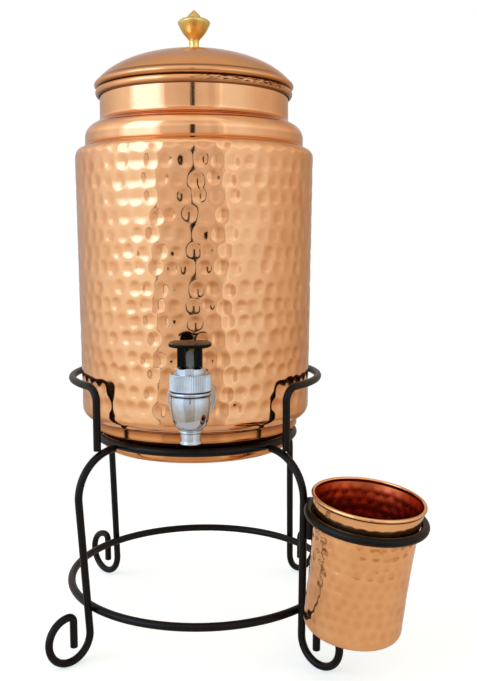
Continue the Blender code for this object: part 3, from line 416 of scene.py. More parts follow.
def lay(name: str, surface: Surface, body: Body, finish: Finish, node: str, crease: float = 38.0) -> None:
    """Piece of one surface, at the origin, riding on its body.

    Args:
        name: name of the piece.
        surface: its surface, in place.
        body: body that it rides on.
        finish: its finish.
        node: CAD node that it replaces.
        crease: angle in degrees above which an edge stays sharp.
    """
    mesh = bpy.data.meshes.new(name)
    mesh.vertices.add(len(surface.points))
    mesh.vertices.foreach_set("co", surface.points.astype(np.float32).ravel())
    corners = np.concatenate((surface.quads.ravel(), surface.tris.ravel())).astype(np.int32)
    sizes = np.concatenate((np.full(len(surface.quads), 4), np.full(len(surface.tris), 3)))
    mesh.loops.add(len(corners))
    mesh.loops.foreach_set("vertex_index", corners)
    mesh.polygons.add(len(sizes))
    mesh.polygons.foreach_set("loop_start", (np.cumsum(sizes) - sizes).astype(np.int32))
    mesh.update(calc_edges=True)
    mesh.validate()
    for label, values in surface.marks.items():
        mark = mesh.attributes.new(label, "FLOAT", "POINT")
        mark.data.foreach_set("value", values.astype(np.float32))
    mesh.shade_smooth()
    mesh.set_sharp_from_angle(angle=math.radians(crease))
    mesh.materials.append(finish.material)
    piece = bpy.data.objects.new(name, mesh)
    bpy.context.scene.collection.objects.link(piece)
    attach(piece, body.value)
    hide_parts(node)
    LOG.info("%s: %d points on %s", name, len(surface.points), body.value)


def dress(finish: Finish, *nodes: str) -> None:
    """Give CAD nodes that stay in view their procedural material."""
    for node in nodes:
        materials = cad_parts[node].data.materials
        materials.clear()
        materials.append(finish.material)
        LOG.info("%s keeps its CAD shape", node)


# Finishes


NOISE = (0.3, 0.7)  # values that most of a noise lies between


def linear(code: str) -> tuple[float, float, float, float]:
    """Linear colour of an sRGB hex code."""
    srgb = np.array([int(code[at:at + 2], 16) for at in (0, 2, 4)]) / 255
    value = np.where(srgb <= 0.04045, srgb / 12.92, ((srgb + 0.055) / 1.055) ** 2.4)
    return (*(float(channel) for channel in value), 1.0)


def fill(tree: Tree, node: bpy.types.Node, inputs: dict[Any, Any]) -> None:
    """Set inputs of a node, each to a value or a colour code, or link them to the sockets that feed them."""
    for name, source in inputs.items():
        if isinstance(source, Socket):
            tree.links.new(source, node.inputs[name])
        else:
            node.inputs[name].default_value = linear(source) if isinstance(source, str) else source


def add(tree: Tree, kind: str, inputs: Optional[dict[Any, Any]] = None, **settings: Any) -> bpy.types.Node:
    """Add a node with its settings and inputs."""
    made = tree.nodes.new(kind)
    for name, value in settings.items():
        setattr(made, name, value)
    fill(tree, made, inputs or {})
    return made


def reckoned(tree: Tree, operation: str, *terms: Any, **settings: Any) -> Socket:
    """Result of a math operation on terms, each a number or a socket."""
    return add(tree, "ShaderNodeMath", dict(enumerate(terms)), operation=operation, **settings).outputs[0]


def blend(tree: Tree, share: Any, first: Any, second: Any, kind: str = "MIX") -> Socket:
    """Colour between two, each a colour code, a linear colour or a socket, by a share."""
    return add(tree, "ShaderNodeMix", {0: share, 6: first, 7: second}, data_type="RGBA", blend_type=kind).outputs[2]


def between(tree: Tree, value: Socket, source: Pair, target: Pair = (0.0, 1.0), **settings: Any) -> Socket:
    """Value carried from one range to another, and held inside it."""
    inputs = {"Value": value, "From Min": source[0], "From Max": source[1], "To Min": target[0], "To Max": target[1]}
    return add(tree, "ShaderNodeMapRange", inputs, **settings).outputs["Result"]


def placed(tree: Tree, centre: Any = (0, 0, 0), stretch: Any = (1, 1, 1)) -> Socket:
    """Object coordinates, centred on a place and stretched."""
    where = add(tree, "ShaderNodeTexCoord").outputs["Object"]
    shift = tuple(-float(at) * float(size) for at, size in zip(centre, stretch))
    return add(tree, "ShaderNodeMapping", {"Vector": where, "Location": shift, "Scale": stretch}).outputs["Vector"]


def cloud(tree: Tree, at: Socket, size: float, detail: float = 3.0, rough: float = 0.55) -> Socket:
    """Noise whose blots are about a size across, in metres of the coordinate that feeds it."""
    return add(tree, "ShaderNodeTexNoise",
               {"Vector": at, "Scale": 1 / size, "Detail": detail, "Roughness": rough}).outputs["Fac"]


def marked(tree: Tree, name: str) -> Socket:
    """A piece's own mark, 0 on a piece without it."""
    return add(tree, "ShaderNodeAttribute", attribute_name=name).outputs["Fac"]


@dataclass(frozen=True)
class Look:
    """What all finishes have: a colour that a noise stains with a second one, a gloss that it stirs, and a bump."""

    name: str
    slot: Slot
    colour: str
    deep: str
    roughness: float
    bump: float = 0.000006
    stain: Triple = (0.4, 0.7, 0.6)  # noise where it starts and ends, and its most
    spread: Pair = (0.8, 1.3)  # least and most gloss, times the roughness
    crevice_shade_colour: str = "16181c"  # colour of the shade painted into a crevice

    def stained(self, tree: Tree, noise: Socket) -> Socket:
        """Share of the second colour."""
        return between(tree, noise, self.stain[:2], (0.0, self.stain[2]))

    def crevice_shaded(self, tree: Tree, colour: Socket) -> Socket:
        """Colour darkened by painted shade in a crevice, where the piece's own mark says so."""
        return blend(tree, marked(tree, "crevice"), colour, self.crevice_shade_colour)

    def gloss(self, tree: Tree, noise: Socket) -> Socket:
        """Roughness that the noise stirs."""
        return between(tree, noise, NOISE, (self.roughness * self.spread[0], self.roughness * self.spread[1]))

    def raised(self, tree: Tree, height: Socket) -> Socket:
        """Normal with the bump."""
        return add(tree, "ShaderNodeBump",
                   {"Strength": 1.0, "Distance": self.bump, "Height": height}).outputs["Normal"]

    def paint(self, tree: Tree) -> dict[str, Any]:
        """Inputs of the shader, each a value or the socket that feeds it."""
        raise NotImplementedError

    def make(self) -> Finish:
        """New material with the look."""
        made = bpy.data.materials.new(self.name)
        made.use_nodes = True
        fill(made.node_tree, made.node_tree.nodes["Principled BSDF"], self.paint(made.node_tree))
        return Finish(self.slot, made)


@dataclass(frozen=True)
class Metal(Look):
    """Plain bright metal, plated, turned or drawn, with faint clouds in its gloss."""

    cloud_size: float = 0.005

    def paint(self, tree: Tree) -> dict[str, Any]:
        """Inputs of the shader, from one cloud that stirs colour, gloss and surface."""
        blots = cloud(tree, placed(tree), self.cloud_size, 4.0)
        colour = blend(tree, self.stained(tree, blots), self.colour, self.deep)
        return {"Base Color": self.crevice_shaded(tree, colour), "Roughness": self.gloss(tree, blots),
                "Normal": self.raised(tree, blots), "Metallic": 1.0}


@dataclass(frozen=True)
class Copper(Look):
    """Polished and lacquered copper sheet; in the hammered kind, painted shade makes the bottom of each mark a little
    browner than the ridges, and a cup's inner wall is painted darker and redder as shade.

    Bright warm metal with a thin clear lacquer, which adds a whiter edge to the strongest lights.
    """

    bump: float = 0.000012
    stain: Triple = (0.38, 0.68, 0.32)
    spread: Pair = (0.75, 1.35)
    # dark brown of the shade painted into a crevice
    crevice_shade_colour: str = "2a0f06"
    centre: Triple = (0.0, 0.0, 0.0)
    cloud_size: float = 0.018
    streak: Triple = (1.0, 1.0, 1.0)  # squeeze of the wheel's streaks along each axis
    streak_size: float = 0.004
    dent_depth: float = 0.0008
    hollow_shade: float = 0.25  # painted shade: brown at the bottom of the deepest mark
    # painted shade: darker, redder colour of a cup's inner wall
    inside: str = "7a2412"
    inside_roughness: float = 0.26
    lacquer: Pair = (0.12, 0.05)  # weight and roughness

    def paint(self, tree: Tree) -> dict[str, Any]:
        """Inputs of the shader, from clouds of tarnish, the dents' mark for painted shade at their bottoms, painted
        shade on the inner wall and in crevices, and fine streaks of the polishing wheel.
        """
        tarnish = self.stained(tree, cloud(tree, placed(tree, self.centre), self.cloud_size, 4.0))
        # painted shade: the deeper a dent, the browner its colour
        hollow_shaded = between(tree, marked(tree, "dent"), (0.0, self.dent_depth), (0.0, self.hollow_shade))
        colour = blend(tree, reckoned(tree, "ADD", tarnish, hollow_shaded, use_clamp=True), self.colour, self.deep)
        lining = marked(tree, "lining")
        streaks = cloud(tree, placed(tree, self.centre, self.streak), self.streak_size, 4.0, 0.6)
        duller = reckoned(tree, "MULTIPLY", lining, self.inside_roughness)
        # painted shade: the inner wall takes the darker, redder inside colour; its higher roughness is real
        return {"Base Color": self.crevice_shaded(tree, blend(tree, lining, colour, self.inside)),
                "Roughness": reckoned(tree, "MAXIMUM", self.gloss(tree, streaks), duller),
                "Normal": self.raised(tree, streaks), "Metallic": 1.0,
                "Coat Weight": self.lacquer[0], "Coat Roughness": self.lacquer[1]}


@dataclass(frozen=True)
class SpunCopper(Look):
    """Spun copper of the lid: fine turned lines round its axis under a slightly scuffed polish."""

    bump: float = 0.000011
    stain: Triple = (0.36, 0.7, 0.6)
    # dark red-brown of the shade painted into a crevice
    crevice_shade_colour: str = "4c170a"
    cloud_size: float = 0.030
    pitch: float = 0.0011  # real lines are near 0.3 mm, drawn coarser so that they show

    def paint(self, tree: Tree) -> dict[str, Any]:
        """Inputs of the shader; the lines are noise along the distance from the lid's axis."""
        point = placed(tree, AXIS)
        level = add(tree, "ShaderNodeVectorMath", {0: point, 1: (1, 1, 0)}, operation="MULTIPLY").outputs[0]
        far = add(tree, "ShaderNodeVectorMath", {0: level}, operation="LENGTH").outputs["Value"]
        line = add(tree, "ShaderNodeTexNoise", {"W": far, "Scale": 1 / self.pitch, "Detail": 2.0},
                   noise_dimensions="1D").outputs["Fac"]
        blots = cloud(tree, point, self.cloud_size, 4.0, 0.5)
        colour = blend(tree, self.stained(tree, blots), self.colour, self.deep)
        return {"Base Color": self.crevice_shaded(tree, colour), "Roughness": self.gloss(tree, blots),
                "Normal": self.raised(tree, line), "Metallic": 1.0}


@dataclass(frozen=True)
class Coated(Look):
    """Powder coat, plastic or silicone: a coloured body under its own skin, with the grain of how it was made."""

    stain: Triple = (0.35, 0.7, 1.0)
    spread: Pair = (0.85, 1.2)
    grain: float = 0.0012
    blots: float = 8.0  # size of the clouds of colour, in grains
    clear: float = 0.0
    sheen: float = 0.5

    def paint(self, tree: Tree) -> dict[str, Any]:
        """Inputs of the shader, from a cloud for colour and a fine grain for gloss and surface."""
        point = placed(tree)
        blots = cloud(tree, point, self.grain * self.blots)
        grain = cloud(tree, point, self.grain)
        return {"Base Color": blend(tree, self.stained(tree, blots), self.colour, self.deep),
                "Roughness": self.gloss(tree, grain), "Normal": self.raised(tree, grain), "IOR": 1.5,
                "Specular IOR Level": self.sheen, "Transmission Weight": self.clear}


@dataclass(frozen=True)
class Finishes:
    """Every finish of the dispenser, made once."""

    hammered: Finish
    polished: Finish
    tumbler: Finish
    pan: Finish
    spun: Finish
    brass: Finish
    chrome: Finish
    iron: Finish
    black: Finish
    grey: Finish
    silicone: Finish
    steel: Finish

    @classmethod
    def make(cls) -> "Finishes":
        """Make all of them."""
        axis = tuple(float(at) for at in AXIS)
        wheel = (1.0, 1.0, 0.04)  # streaks drawn out along the height
        looks = dict(
            hammered=Copper("hammered_lacquered_copper", Slot.HAMMERED, "f2bc8c", "d9955f", 0.085, centre=axis),
            # Polished copper's crevice shade is orange: a painted reflection of the copper in the shoulder's hollow
            # foot and in the neck's fillet
            polished=Copper("polished_lacquered_copper", Slot.POLISHED, "f2bc8c", "d9955f", 0.08, 0.000018,
                            crevice_shade_colour="cc6e22", centre=axis, streak=wheel, streak_size=0.0022),
            # the tumbler's inside colour is painted shade of its inner wall
            tumbler=Copper("hammered_tumbler_copper", Slot.TUMBLER, "fdc68e", "e09e64", 0.10, dent_depth=0.00026,
                           hollow_shade=0.35, inside="cc6a40"),
            # Pan: a darker, more saturated copy of the polished copper, painted shade under the drum's overhang; its
            # crevice shade darkens the band's top and foot
            pan=Copper("pan_copper_painted_shade", Slot.POLISHED, "e8a366", "bd763e", 0.15, 0.00005, crevice_shade_colour="74300c", centre=axis,
                       streak=wheel, streak_size=0.0060),
            spun=SpunCopper("spun_copper", Slot.POLISHED, "eab07c", "d99a66", 0.17),
            # Cast and machine-turned brass, lacquered: yellow gold with darker, browner hollows
            brass=Metal("turned_brass", Slot.BRASS, "f2d98a", "d4b062", 0.16),
            # Nickel and chromium plate on die-cast zinc: cool, bright and almost mirror-like
            chrome=Metal("chrome_plate", Slot.CHROME, "ccdbeb", "b5c4d5", 0.08),
            # Black powder coat on bent iron bar: satin with a faint orange peel of about 1 mm
            iron=Coated("black_powder_coat", Slot.IRON, "040405", "080809", 0.30, 0.00003, grain=0.0011, sheen=0.20),
            # Moulded black ABS with a polished tool finish
            black=Coated("gloss_black_abs", Slot.BLACK_PLASTIC, "020203", "050506", 0.22, 0.000008, grain=0.0030,
                         sheen=0.12),
            # Moulded grey acetal, satin
            grey=Coated("satin_grey_acetal", Slot.GREY_PLASTIC, "b4bec2", "9ca6aa", 0.38, 0.00001),
            # Moulded translucent silicone, milky with a soft skin
            silicone=Coated("milky_silicone", Slot.SILICONE, "e9ece9", "d6dbd8", 0.42, 0.00001, grain=0.0016,
                            clear=0.35),
            # Drawn spring steel, bright
            steel=Metal("bright_spring_steel", Slot.STEEL, "b4b7b9", "8f9294", 0.25))
        return cls(**{name: look.make() for name, look in looks.items()})


# Sub-assemblies


@dataclass
class Stand:
    """Iron stand of round bar: two rings, four scrolled legs, two arms and the tumbler's leaning ring."""

    finishes: Finishes
    ring_bar: float = 0.0060
    leg_bar: float = 0.0055
    upper_radius: float = 0.0766
    upper_height: float = 0.1522
    lower_radius: float = 0.1036
    lower_height: float = 0.0358
    lower_shift: Triple = (0.0039, 0.0010, 0.0)
    turn: float = -0.9
    azimuths: tuple[float, ...] = (-45.0, 45.0, 135.0, -135.0)
    names: tuple[str, ...] = ("leg_front_left", "leg_front_right", "leg_back_right", "leg_back_left")
    leg_drop: float = 0.0015
    leg_shoulder: float = 0.0324
    foot_flat: float = 0.0004
    scroll: Triple = (0.0172, 0.0161, 0.0044)  # radii of its three arcs, from the leg inwards
    tail: float = 0.0190
    arm_radius: float = 0.0955
    arm_height: float = 0.1970
    arm_corner: float = 0.0100
    holder_radius: float = 0.0390
    holder_height: float = 0.1168
    stub_length: float = 0.0300
    end_rounding: float = 0.0008
    post_rounding: float = 0.0005
    leg_run: float = 0.0060  # longest straight run between points of a leg
    arm_run: float = 0.0040

    def arc_centre(self) -> Pair:
        """Reach and height of the centre of the bend at a leg's top."""
        return self.upper_radius + self.ring_bar / 2 + GAP, self.upper_height - self.leg_drop - self.leg_shoulder

    def stem_reach(self, azimuth: float, height: float) -> float:
        """Reach of a leg's straight run at some height, where it just clears the lower ring."""
        shift = np.array(self.lower_shift)
        along = float(shift @ way_of(azimuth))
        clear = self.lower_radius + self.ring_bar / 2 + self.leg_bar / 2 + GAP
        low = along + math.sqrt(along ** 2 - float(shift @ shift) + clear ** 2)
        top_reach, top_height = self.arc_centre()
        slope = (top_reach + self.leg_shoulder - low) / (top_height - self.lower_height)
        return low + slope * (height - self.lower_height)

    def leg_path(self, azimuth: float) -> np.ndarray:
        """Centre line of a leg: quarter bend, straight run, scroll of three radii and a straight tail."""
        outer, middle, inner = self.scroll
        low = self.leg_bar / 2 - self.foot_flat + outer
        reach = self.stem_reach(azimuth, low)
        centre = reach + 2 * outer - middle
        plane = chained(arc(self.arc_centre(), self.leg_shoulder, 90, 0, 20),
                        arc((reach + outer, low), outer, 180, 360, 36),
                        arc((centre, low), middle, 0, 90, 18),
                        arc((centre, low + middle - inner), inner, 90, 180, 12),
                        (centre - inner, low + middle - inner - self.tail))
        plane = refined(plane, self.leg_run)
        return AXIS + plane[:, :1] * way_of(azimuth) + plane[:, 1:] * UP

    def lay_bar(self, node: str, bar: Surface) -> None:
        """Bar that stands for a CAD node."""
        lay("stand_" + node, bar, Body.STAND, self.finishes.iron, node)

    def build_rings(self) -> None:
        """Upper and lower ring."""
        level = Matrix.Identity(3)
        self.lay_bar("upper_ring", self.ring(AXIS + UP * self.upper_height, self.upper_radius, level))
        centre = AXIS + np.array(self.lower_shift) + UP * self.lower_height
        self.lay_bar("lower_ring", self.ring(centre, self.lower_radius, level))

    def ring(self, centre: np.ndarray, radius: float, turn: Matrix, steps: int = 160) -> Surface:
        """Bar bent to a circle, turned about its centre."""
        turns = around(steps)
        circle = radius * np.column_stack((np.cos(turns), np.sin(turns), np.zeros(steps)))
        spin = np.array(turn)
        return swept(circle @ spin.T + centre, np.full(steps, self.ring_bar / 2), spin[:, 2], 20, ring=True)

    def build_legs(self) -> None:
        """Four legs, each flattened where it stands on the floor."""
        for name, azimuth in zip(self.names, self.azimuths):
            path = self.leg_path(azimuth + self.turn)
            side = np.cross(way_of(azimuth + self.turn), UP)
            leg = rounded_bar(path, self.leg_bar / 2, self.end_rounding, side)
            leg.points[:, 2] = np.maximum(leg.points[:, 2], 0.0)
            self.lay_bar(name, leg)

    def arm(self, first: float, last: float) -> Surface:
        """Arm on a circle round the vessel: up a post, round a corner, along, and down again."""
        centre_reach, centre_height = self.arc_centre()
        inner = self.arm_radius - self.leg_bar / 2 - centre_reach
        foot = centre_height + math.sqrt((self.leg_shoulder + self.leg_bar / 2) ** 2 - inner ** 2) + GAP
        sign = math.copysign(1, last - first)
        length = self.arm_radius * math.radians(abs(last - first))
        corner = self.arm_height - self.arm_corner
        run = chained((0, foot), arc((self.arm_corner, corner), self.arm_corner, 180, 90, 12),
                      arc((length - self.arm_corner, corner), self.arm_corner, 90, 0, 12), (length, foot))
        run = refined(run, self.arm_run)
        azimuth = np.radians(first) + sign * run[:, 0] / self.arm_radius
        outward = np.column_stack((np.sin(azimuth), -np.cos(azimuth), np.zeros(len(run))))
        path = AXIS + self.arm_radius * outward + run[:, 1:] * UP
        return rounded_bar(path, self.leg_bar / 2, self.post_rounding, outward)

    def build_arms(self) -> None:
        """Left and right arm."""
        front_left, front_right, back_right, back_left = (side + self.turn for side in self.azimuths)
        self.lay_bar("arm_left", self.arm(front_left, back_left))
        self.lay_bar("arm_right", self.arm(front_right, back_right))

    def holder_place(self) -> tuple[np.ndarray, Matrix]:
        """Centre and turn of the holder's ring."""
        azimuth = self.azimuths[1] + self.turn
        leg = AXIS + way_of(azimuth) * self.stem_reach(azimuth, self.holder_height)
        half_leg_and_stub = self.leg_bar * 1.5
        apart = half_leg_and_stub + 2 * GAP + self.ring_bar / 2 + self.holder_radius
        return leg + way_of(LEAN_AZIMUTH) * apart + UP * self.holder_height, leaning(3)

    def build_holder(self) -> None:
        """Leaning ring, and the stub welded between it and the front right leg."""
        centre, lean = self.holder_place()
        self.lay_bar("holder_ring", self.ring(centre, self.holder_radius, lean))
        azimuth = self.azimuths[1] + self.turn
        top = self.holder_height + self.holder_radius * math.sin(math.radians(LEAN))
        heights = np.linspace(top - self.stub_length, top, 6)
        reach = np.array([self.stem_reach(azimuth, height) for height in heights])
        path = AXIS + reach[:, None] * way_of(azimuth) + heights[:, None] * UP
        path = path + way_of(LEAN_AZIMUTH) * (self.leg_bar + GAP)
        self.lay_bar("holder_stub", rounded_bar(path, self.leg_bar / 2, self.end_rounding, way_of(azimuth)))

    def build(self) -> None:
        """All of the stand."""
        self.build_rings()
        self.build_legs()
        self.build_arms()
        self.build_holder()


@dataclass
class Vessel:
    """Copper vessel: plain pan, hammered drum and polished shoulder with its neck."""

    finishes: Finishes
    pan_foot_radius: float = 0.0730
    pan_foot_height: float = 0.0103
    pan_corner: float = 0.0040
    pan_band_radius: float = 0.0793
    pan_height: float = 0.0229
    drum_height: float = 0.2031
    drum_bottom_radius: float = 0.0880
    drum_top_radius: float = 0.0902
    drum_bottom_corner: float = 0.0090
    drum_top_corner: float = 0.0060
    turned_edge: float = 0.0040
    shoulder_radius: float = 0.0825
    shoulder_wall: float = 0.0073
    shoulder_foot: Pair = (0.0030, 50.0)  # radius and turn of the wall's hollow foot
    shoulder_bend: float = 0.0110
    neck_radius: float = 0.0712
    neck_fillet: float = 0.0052
    neck_height: float = 0.0493
    pan_edge: float = 0.0004  # cut of the pan's rounded edges
    pan_run: float = 0.0018  # longest run between rows of points, here and below
    neck_run: float = 0.0012
    # Painted shade in the pan's crevices: at the band's top under the drum and at the band's foot
    pan_seam_heights: tuple[float, ...] = (0.0229, 0.0163)
    pan_seams: tuple[Pair, ...] = ((0.0030, 0.75), (0.0012, 0.35))
    # Painted reflection, orange, in the shoulder's hollow foot and in the fillet at the neck's foot
    shoulder_seam_heights: tuple[float, ...] = (0.0006, 0.0184)
    shoulder_seams: tuple[Pair, ...] = ((0.0024, 0.80), (0.0033, 0.75))
    shoulder_seam_depth: float = 0.0135
    steps: int = 240  # columns of the pan and the shoulder
    wall_step: float = 0.00125
    columns: int = 460
    lining_depth: float = 0.0017  # from the outer wall to the drum's inner one, clear of the deepest mark
    edge_thickness: float = 0.00102  # of the drum's turned-in edges
    first_row: float = 0.0061  # height of the lowest row of marks above the drum's lower edge
    low_fade: Pair = (0.008, 0.016)  # heights at which marks are gone and full
    high_fade: Pair = (0.0015, 0.0050)  # the same, from the upper edge down
    marks: HammerMarks = HammerMarks(0.0114, 0.0121, 0.0062, 0.00078, 0.0013, 5)

    def pan_profile(self) -> np.ndarray:
        """Pan from the middle of its underside, up its foot, cone and band, and back inside."""
        band = self.pan_foot_height + self.pan_band_radius - self.pan_foot_radius
        lift = SHEET * (math.sqrt(2) - 1)
        centre = (self.pan_foot_radius - self.pan_corner, self.pan_corner)
        outer = chained((0, 0), arc(centre, self.pan_corner, -90, 0), (self.pan_foot_radius, self.pan_foot_height),
                        (self.pan_band_radius, band), (self.pan_band_radius, self.pan_height),
                        (self.pan_band_radius - SHEET, self.pan_height),
                        (self.pan_band_radius - SHEET, band + lift),
                        (self.pan_foot_radius - SHEET, self.pan_foot_height + lift),
                        arc(centre, self.pan_corner - SHEET, 0, -90), (0, SHEET))
        return refined(eased(outer, self.pan_edge, 3), self.pan_run)

    def drum_profile(self) -> tuple[np.ndarray, np.ndarray]:
        """Drum's closed profile, and for each of its points whether it takes hammer marks."""
        low_r = self.drum_bottom_radius - self.drum_bottom_corner
        high_r = self.drum_top_radius - self.drum_top_corner
        high_z = self.drum_height - self.drum_top_corner
        outer = refined(chained((low_r - self.turned_edge, 0),
                                arc((low_r, self.drum_bottom_corner), self.drum_bottom_corner, -90, 0, 9),
                                arc((high_r, high_z), self.drum_top_corner, 0, 90, 8),
                                (high_r - self.turned_edge, self.drum_height)), self.wall_step)
        deep, thin = self.lining_depth, self.edge_thickness
        inner = chained((high_r - self.turned_edge, self.drum_height - thin),
                        arc((high_r, high_z), self.drum_top_corner - deep, 90, 0, 4),
                        arc((low_r, self.drum_bottom_corner), self.drum_bottom_corner - deep, 0, -90, 4),
                        (low_r - self.turned_edge, thin))
        profile = np.vstack((outer, inner))
        return profile, np.arange(len(profile)) < len(outer)

    def drum(self) -> Surface:
        """Drum's wall, pressed in by the rows of marks, which fade out where its ends bend in."""
        profile, hammered = self.drum_profile()
        height = profile[:, 1:]
        depth = self.marks.depth_map(self.columns, height - self.first_row, 2 * math.pi * self.drum_top_radius)
        depth *= fading(height, *self.low_fade) * fading(self.drum_height - height, *self.high_fade)
        depth *= hammered[:, None]
        # the dent mark also feeds the finish's painted shade at the bottom of each mark
        return turned(profile, self.columns, ring=True, dents=depth, dent=depth)

    def neck_profile(self) -> np.ndarray:
        """Shoulder's hollow foot and wall, its bend, the fillet and the upright neck, and back inside."""
        bend_r = self.shoulder_radius - self.shoulder_bend
        fillet_r = self.neck_radius + self.neck_fillet
        apart = self.shoulder_bend + self.neck_fillet
        rise = math.sqrt(apart ** 2 - (fillet_r - bend_r) ** 2)
        meet = math.degrees(math.atan2(rise, fillet_r - bend_r))
        low, high = (bend_r, self.shoulder_wall), (fillet_r, self.shoulder_wall + rise)
        hollow, turn = self.shoulder_foot
        foot = arc((self.shoulder_radius + hollow, hollow), hollow, 180 + turn, 180, 8)
        return refined(chained((foot[0, 0], 0), foot, arc(low, self.shoulder_bend, 0, meet, 16),
                               arc(high, self.neck_fillet, meet + 180, 180, 12),
                               (self.neck_radius, self.neck_height), (self.neck_radius - SHEET, self.neck_height),
                               arc(high, self.neck_fillet + SHEET, 180, meet + 180, 8),
                               arc(low, self.shoulder_bend - SHEET, meet, 0, 16),
                               (self.shoulder_radius - SHEET, 0)), self.neck_run)

    def build(self) -> None:
        """Pan, drum and shoulder, one on another."""
        profile = self.pan_profile()
        pan = turned(profile, self.steps, crevice=crevice(profile, self.pan_seam_heights, self.pan_seams))
        lay("vessel_base_pan", pan.moved(on_axis(PAN_BASE)), Body.VESSEL, self.finishes.pan, "base_pan")
        base = PAN_BASE + (self.pan_height + GAP)
        lay("vessel_hammered_drum", self.drum().moved(on_axis(base)), Body.VESSEL, self.finishes.hammered,
            "drum_shell", HAMMERED_CREASE)
        profile = self.neck_profile()
        seams = crevice(profile, self.shoulder_seam_heights, self.shoulder_seams, self.shoulder_seam_depth, 6)
        shoulder = turned(profile, self.steps, ring=True, crevice=seams)
        base = PAN_BASE + (self.pan_height + GAP + self.drum_height + GAP)
        lay("vessel_shoulder_neck", shoulder.moved(on_axis(base)), Body.VESSEL, self.finishes.polished,
            "shoulder_neck")


@dataclass
class Lid:
    """Spun lid with two rolled beads, and its turned brass knob."""

    finishes: Finishes
    base: float = 0.407521
    bore: float = 0.0718
    skirt: float = 0.0729
    lower_bead: Pair = (0.0056, 0.0014)  # height and bulge
    upper_bead: Pair = (0.0055, 0.0022)
    dome_rise: float = 0.0238
    ellipse: float = 0.0780  # half width of the dome's ellipse
    hole: float = 0.0028
    knob_radius: float = 0.0120
    knob_height: float = 0.0307
    # The knob's turned outline, in shares of its radius and height
    knob_across: tuple[float, ...] = (0.38, 0.36, 0.32, 0.31, 0.34, 0.51, 0.69, 0.87, 0.99, 1.00, 0.84, 0.53, 0.27)
    knob_up: tuple[float, ...] = (0.00, 0.04, 0.10, 0.20, 0.27, 0.35, 0.43, 0.55, 0.65, 0.70, 0.75, 0.79, 0.90)
    stud_radius: float = 0.0025
    stud_length: float = 0.0095
    speck_span: Pair = (1.0, 66.0)  # azimuths between which the lower bead has dark specks
    speck_rise: Pair = (0.25, 1.05)  # shares of the bead's height between which they lie
    specks: Pair = (-0.5, 1.9)  # range of their random darkness, of which 0 to 1 is kept
    # painted shade at the lid's lower edge, in the groove between the beads and where the dome meets the upper bead
    seams: tuple[Pair, ...] = ((0.0007, 0.90), (0.0007, 1.00), (0.0005, 0.85))
    bunching: float = 0.7  # below 1 the dome's rows lie closer together at its edge
    bead_fullness: float = 0.75  # below 1 a bead is fuller than a half wave
    steps: int = 240

    def dark_specks(self, points: np.ndarray) -> np.ndarray:
        """Specks of a random darkness on the lower bead's upper half, thinning out to the stretch's ends."""
        azimuth = np.degrees(np.arctan2(points[:, 0], -points[:, 1]))
        share = (azimuth - self.speck_span[0]) / (self.speck_span[1] - self.speck_span[0])
        rise = points[:, 2] / self.lower_bead[0]
        low, high = self.speck_rise
        place = np.clip(8 * share * (1 - share), 0, 1) * np.clip(9 * (rise - low) * (high - rise), 0, 1)
        speck = np.random.default_rng(3).uniform(*self.specks, len(points))
        outside = np.hypot(points[:, 0], points[:, 1]) > self.skirt - GAP
        return place * np.clip(speck, 0, 1) * outside

    def dome(self, radius: np.ndarray, inset: float = 0.0) -> np.ndarray:
        """Height of the dome: an ellipse, centre + half height x sqrt(1 - (r / half width)^2)."""
        flat = math.sqrt(1 - (self.skirt / self.ellipse) ** 2)
        half = self.dome_rise / (1 - flat)
        centre = self.lower_bead[0] + self.upper_bead[0] + self.dome_rise - half
        return centre + (half - inset) * np.sqrt(1 - (radius / (self.ellipse - inset)) ** 2)

    def bead(self, low: float, size: Pair) -> np.ndarray:
        """Wave of a bead: skirt radius + bulge x sin(pi x share of its height)^fullness."""
        share = np.linspace(0, 1, 15)
        wave = np.sin(np.pi * share) ** self.bead_fullness
        return np.column_stack((self.skirt + size[1] * wave, low + size[0] * share))

    def profile(self) -> np.ndarray:
        """Closed profile: two beads, the dome out to the crown's hole, and back under it."""
        share = np.linspace(0, 1, 40)
        outer = self.hole + (self.skirt - self.hole) * share[::-1] ** self.bunching
        inner = self.hole + (self.bore - self.hole) * share ** self.bunching
        return chained(self.bead(0, self.lower_bead), self.bead(self.lower_bead[0], self.upper_bead),
                       np.column_stack((outer, self.dome(outer))),
                       np.column_stack((inner, self.dome(inner, SHEET))), (self.bore, 0.0))

    def knob(self) -> Surface:
        """Knob on its stud, a smooth curve through the turned outline."""
        shape = np.array((self.knob_across, self.knob_up)).T * (self.knob_radius, self.knob_height)
        curve = flowing(np.vstack((shape, (0.0, self.knob_height))), 6)
        curve[:, 0] = np.maximum(curve[:, 0], 0.0)
        curve[-1, 0] = 0.0
        curve[:, 1] = np.clip(curve[:, 1], 0.0, self.knob_height)
        stud = ((0, -self.stud_length), (self.stud_radius, -self.stud_length), (self.stud_radius, 0))
        return turned(chained(stud, curve), 72)

    def build(self) -> None:
        """Lid, knob, and the knob's washer and nut."""
        profile = self.profile()
        groove = self.lower_bead[0]
        seams = crevice(profile, (0.0, groove, groove + self.upper_bead[0]), self.seams)
        dome = turned(profile, self.steps, ring=True, crevice=seams)
        # the dark specks are drawn with the crevice shade colour
        dome.marks["crevice"] = np.maximum(dome.marks["crevice"], self.dark_specks(dome.points))
        lay("lid_dome", dome.moved(on_axis(self.base)), Body.LID, self.finishes.spun, "lid_shell")
        crown = float(self.dome(np.zeros(1))[0]) + GAP
        knob = self.knob().moved(on_axis(self.base + crown))
        lay("lid_brass_knob", knob, Body.LID, self.finishes.brass, "lid_knob")
        dress(self.finishes.brass, "knob_washer", "knob_nut")


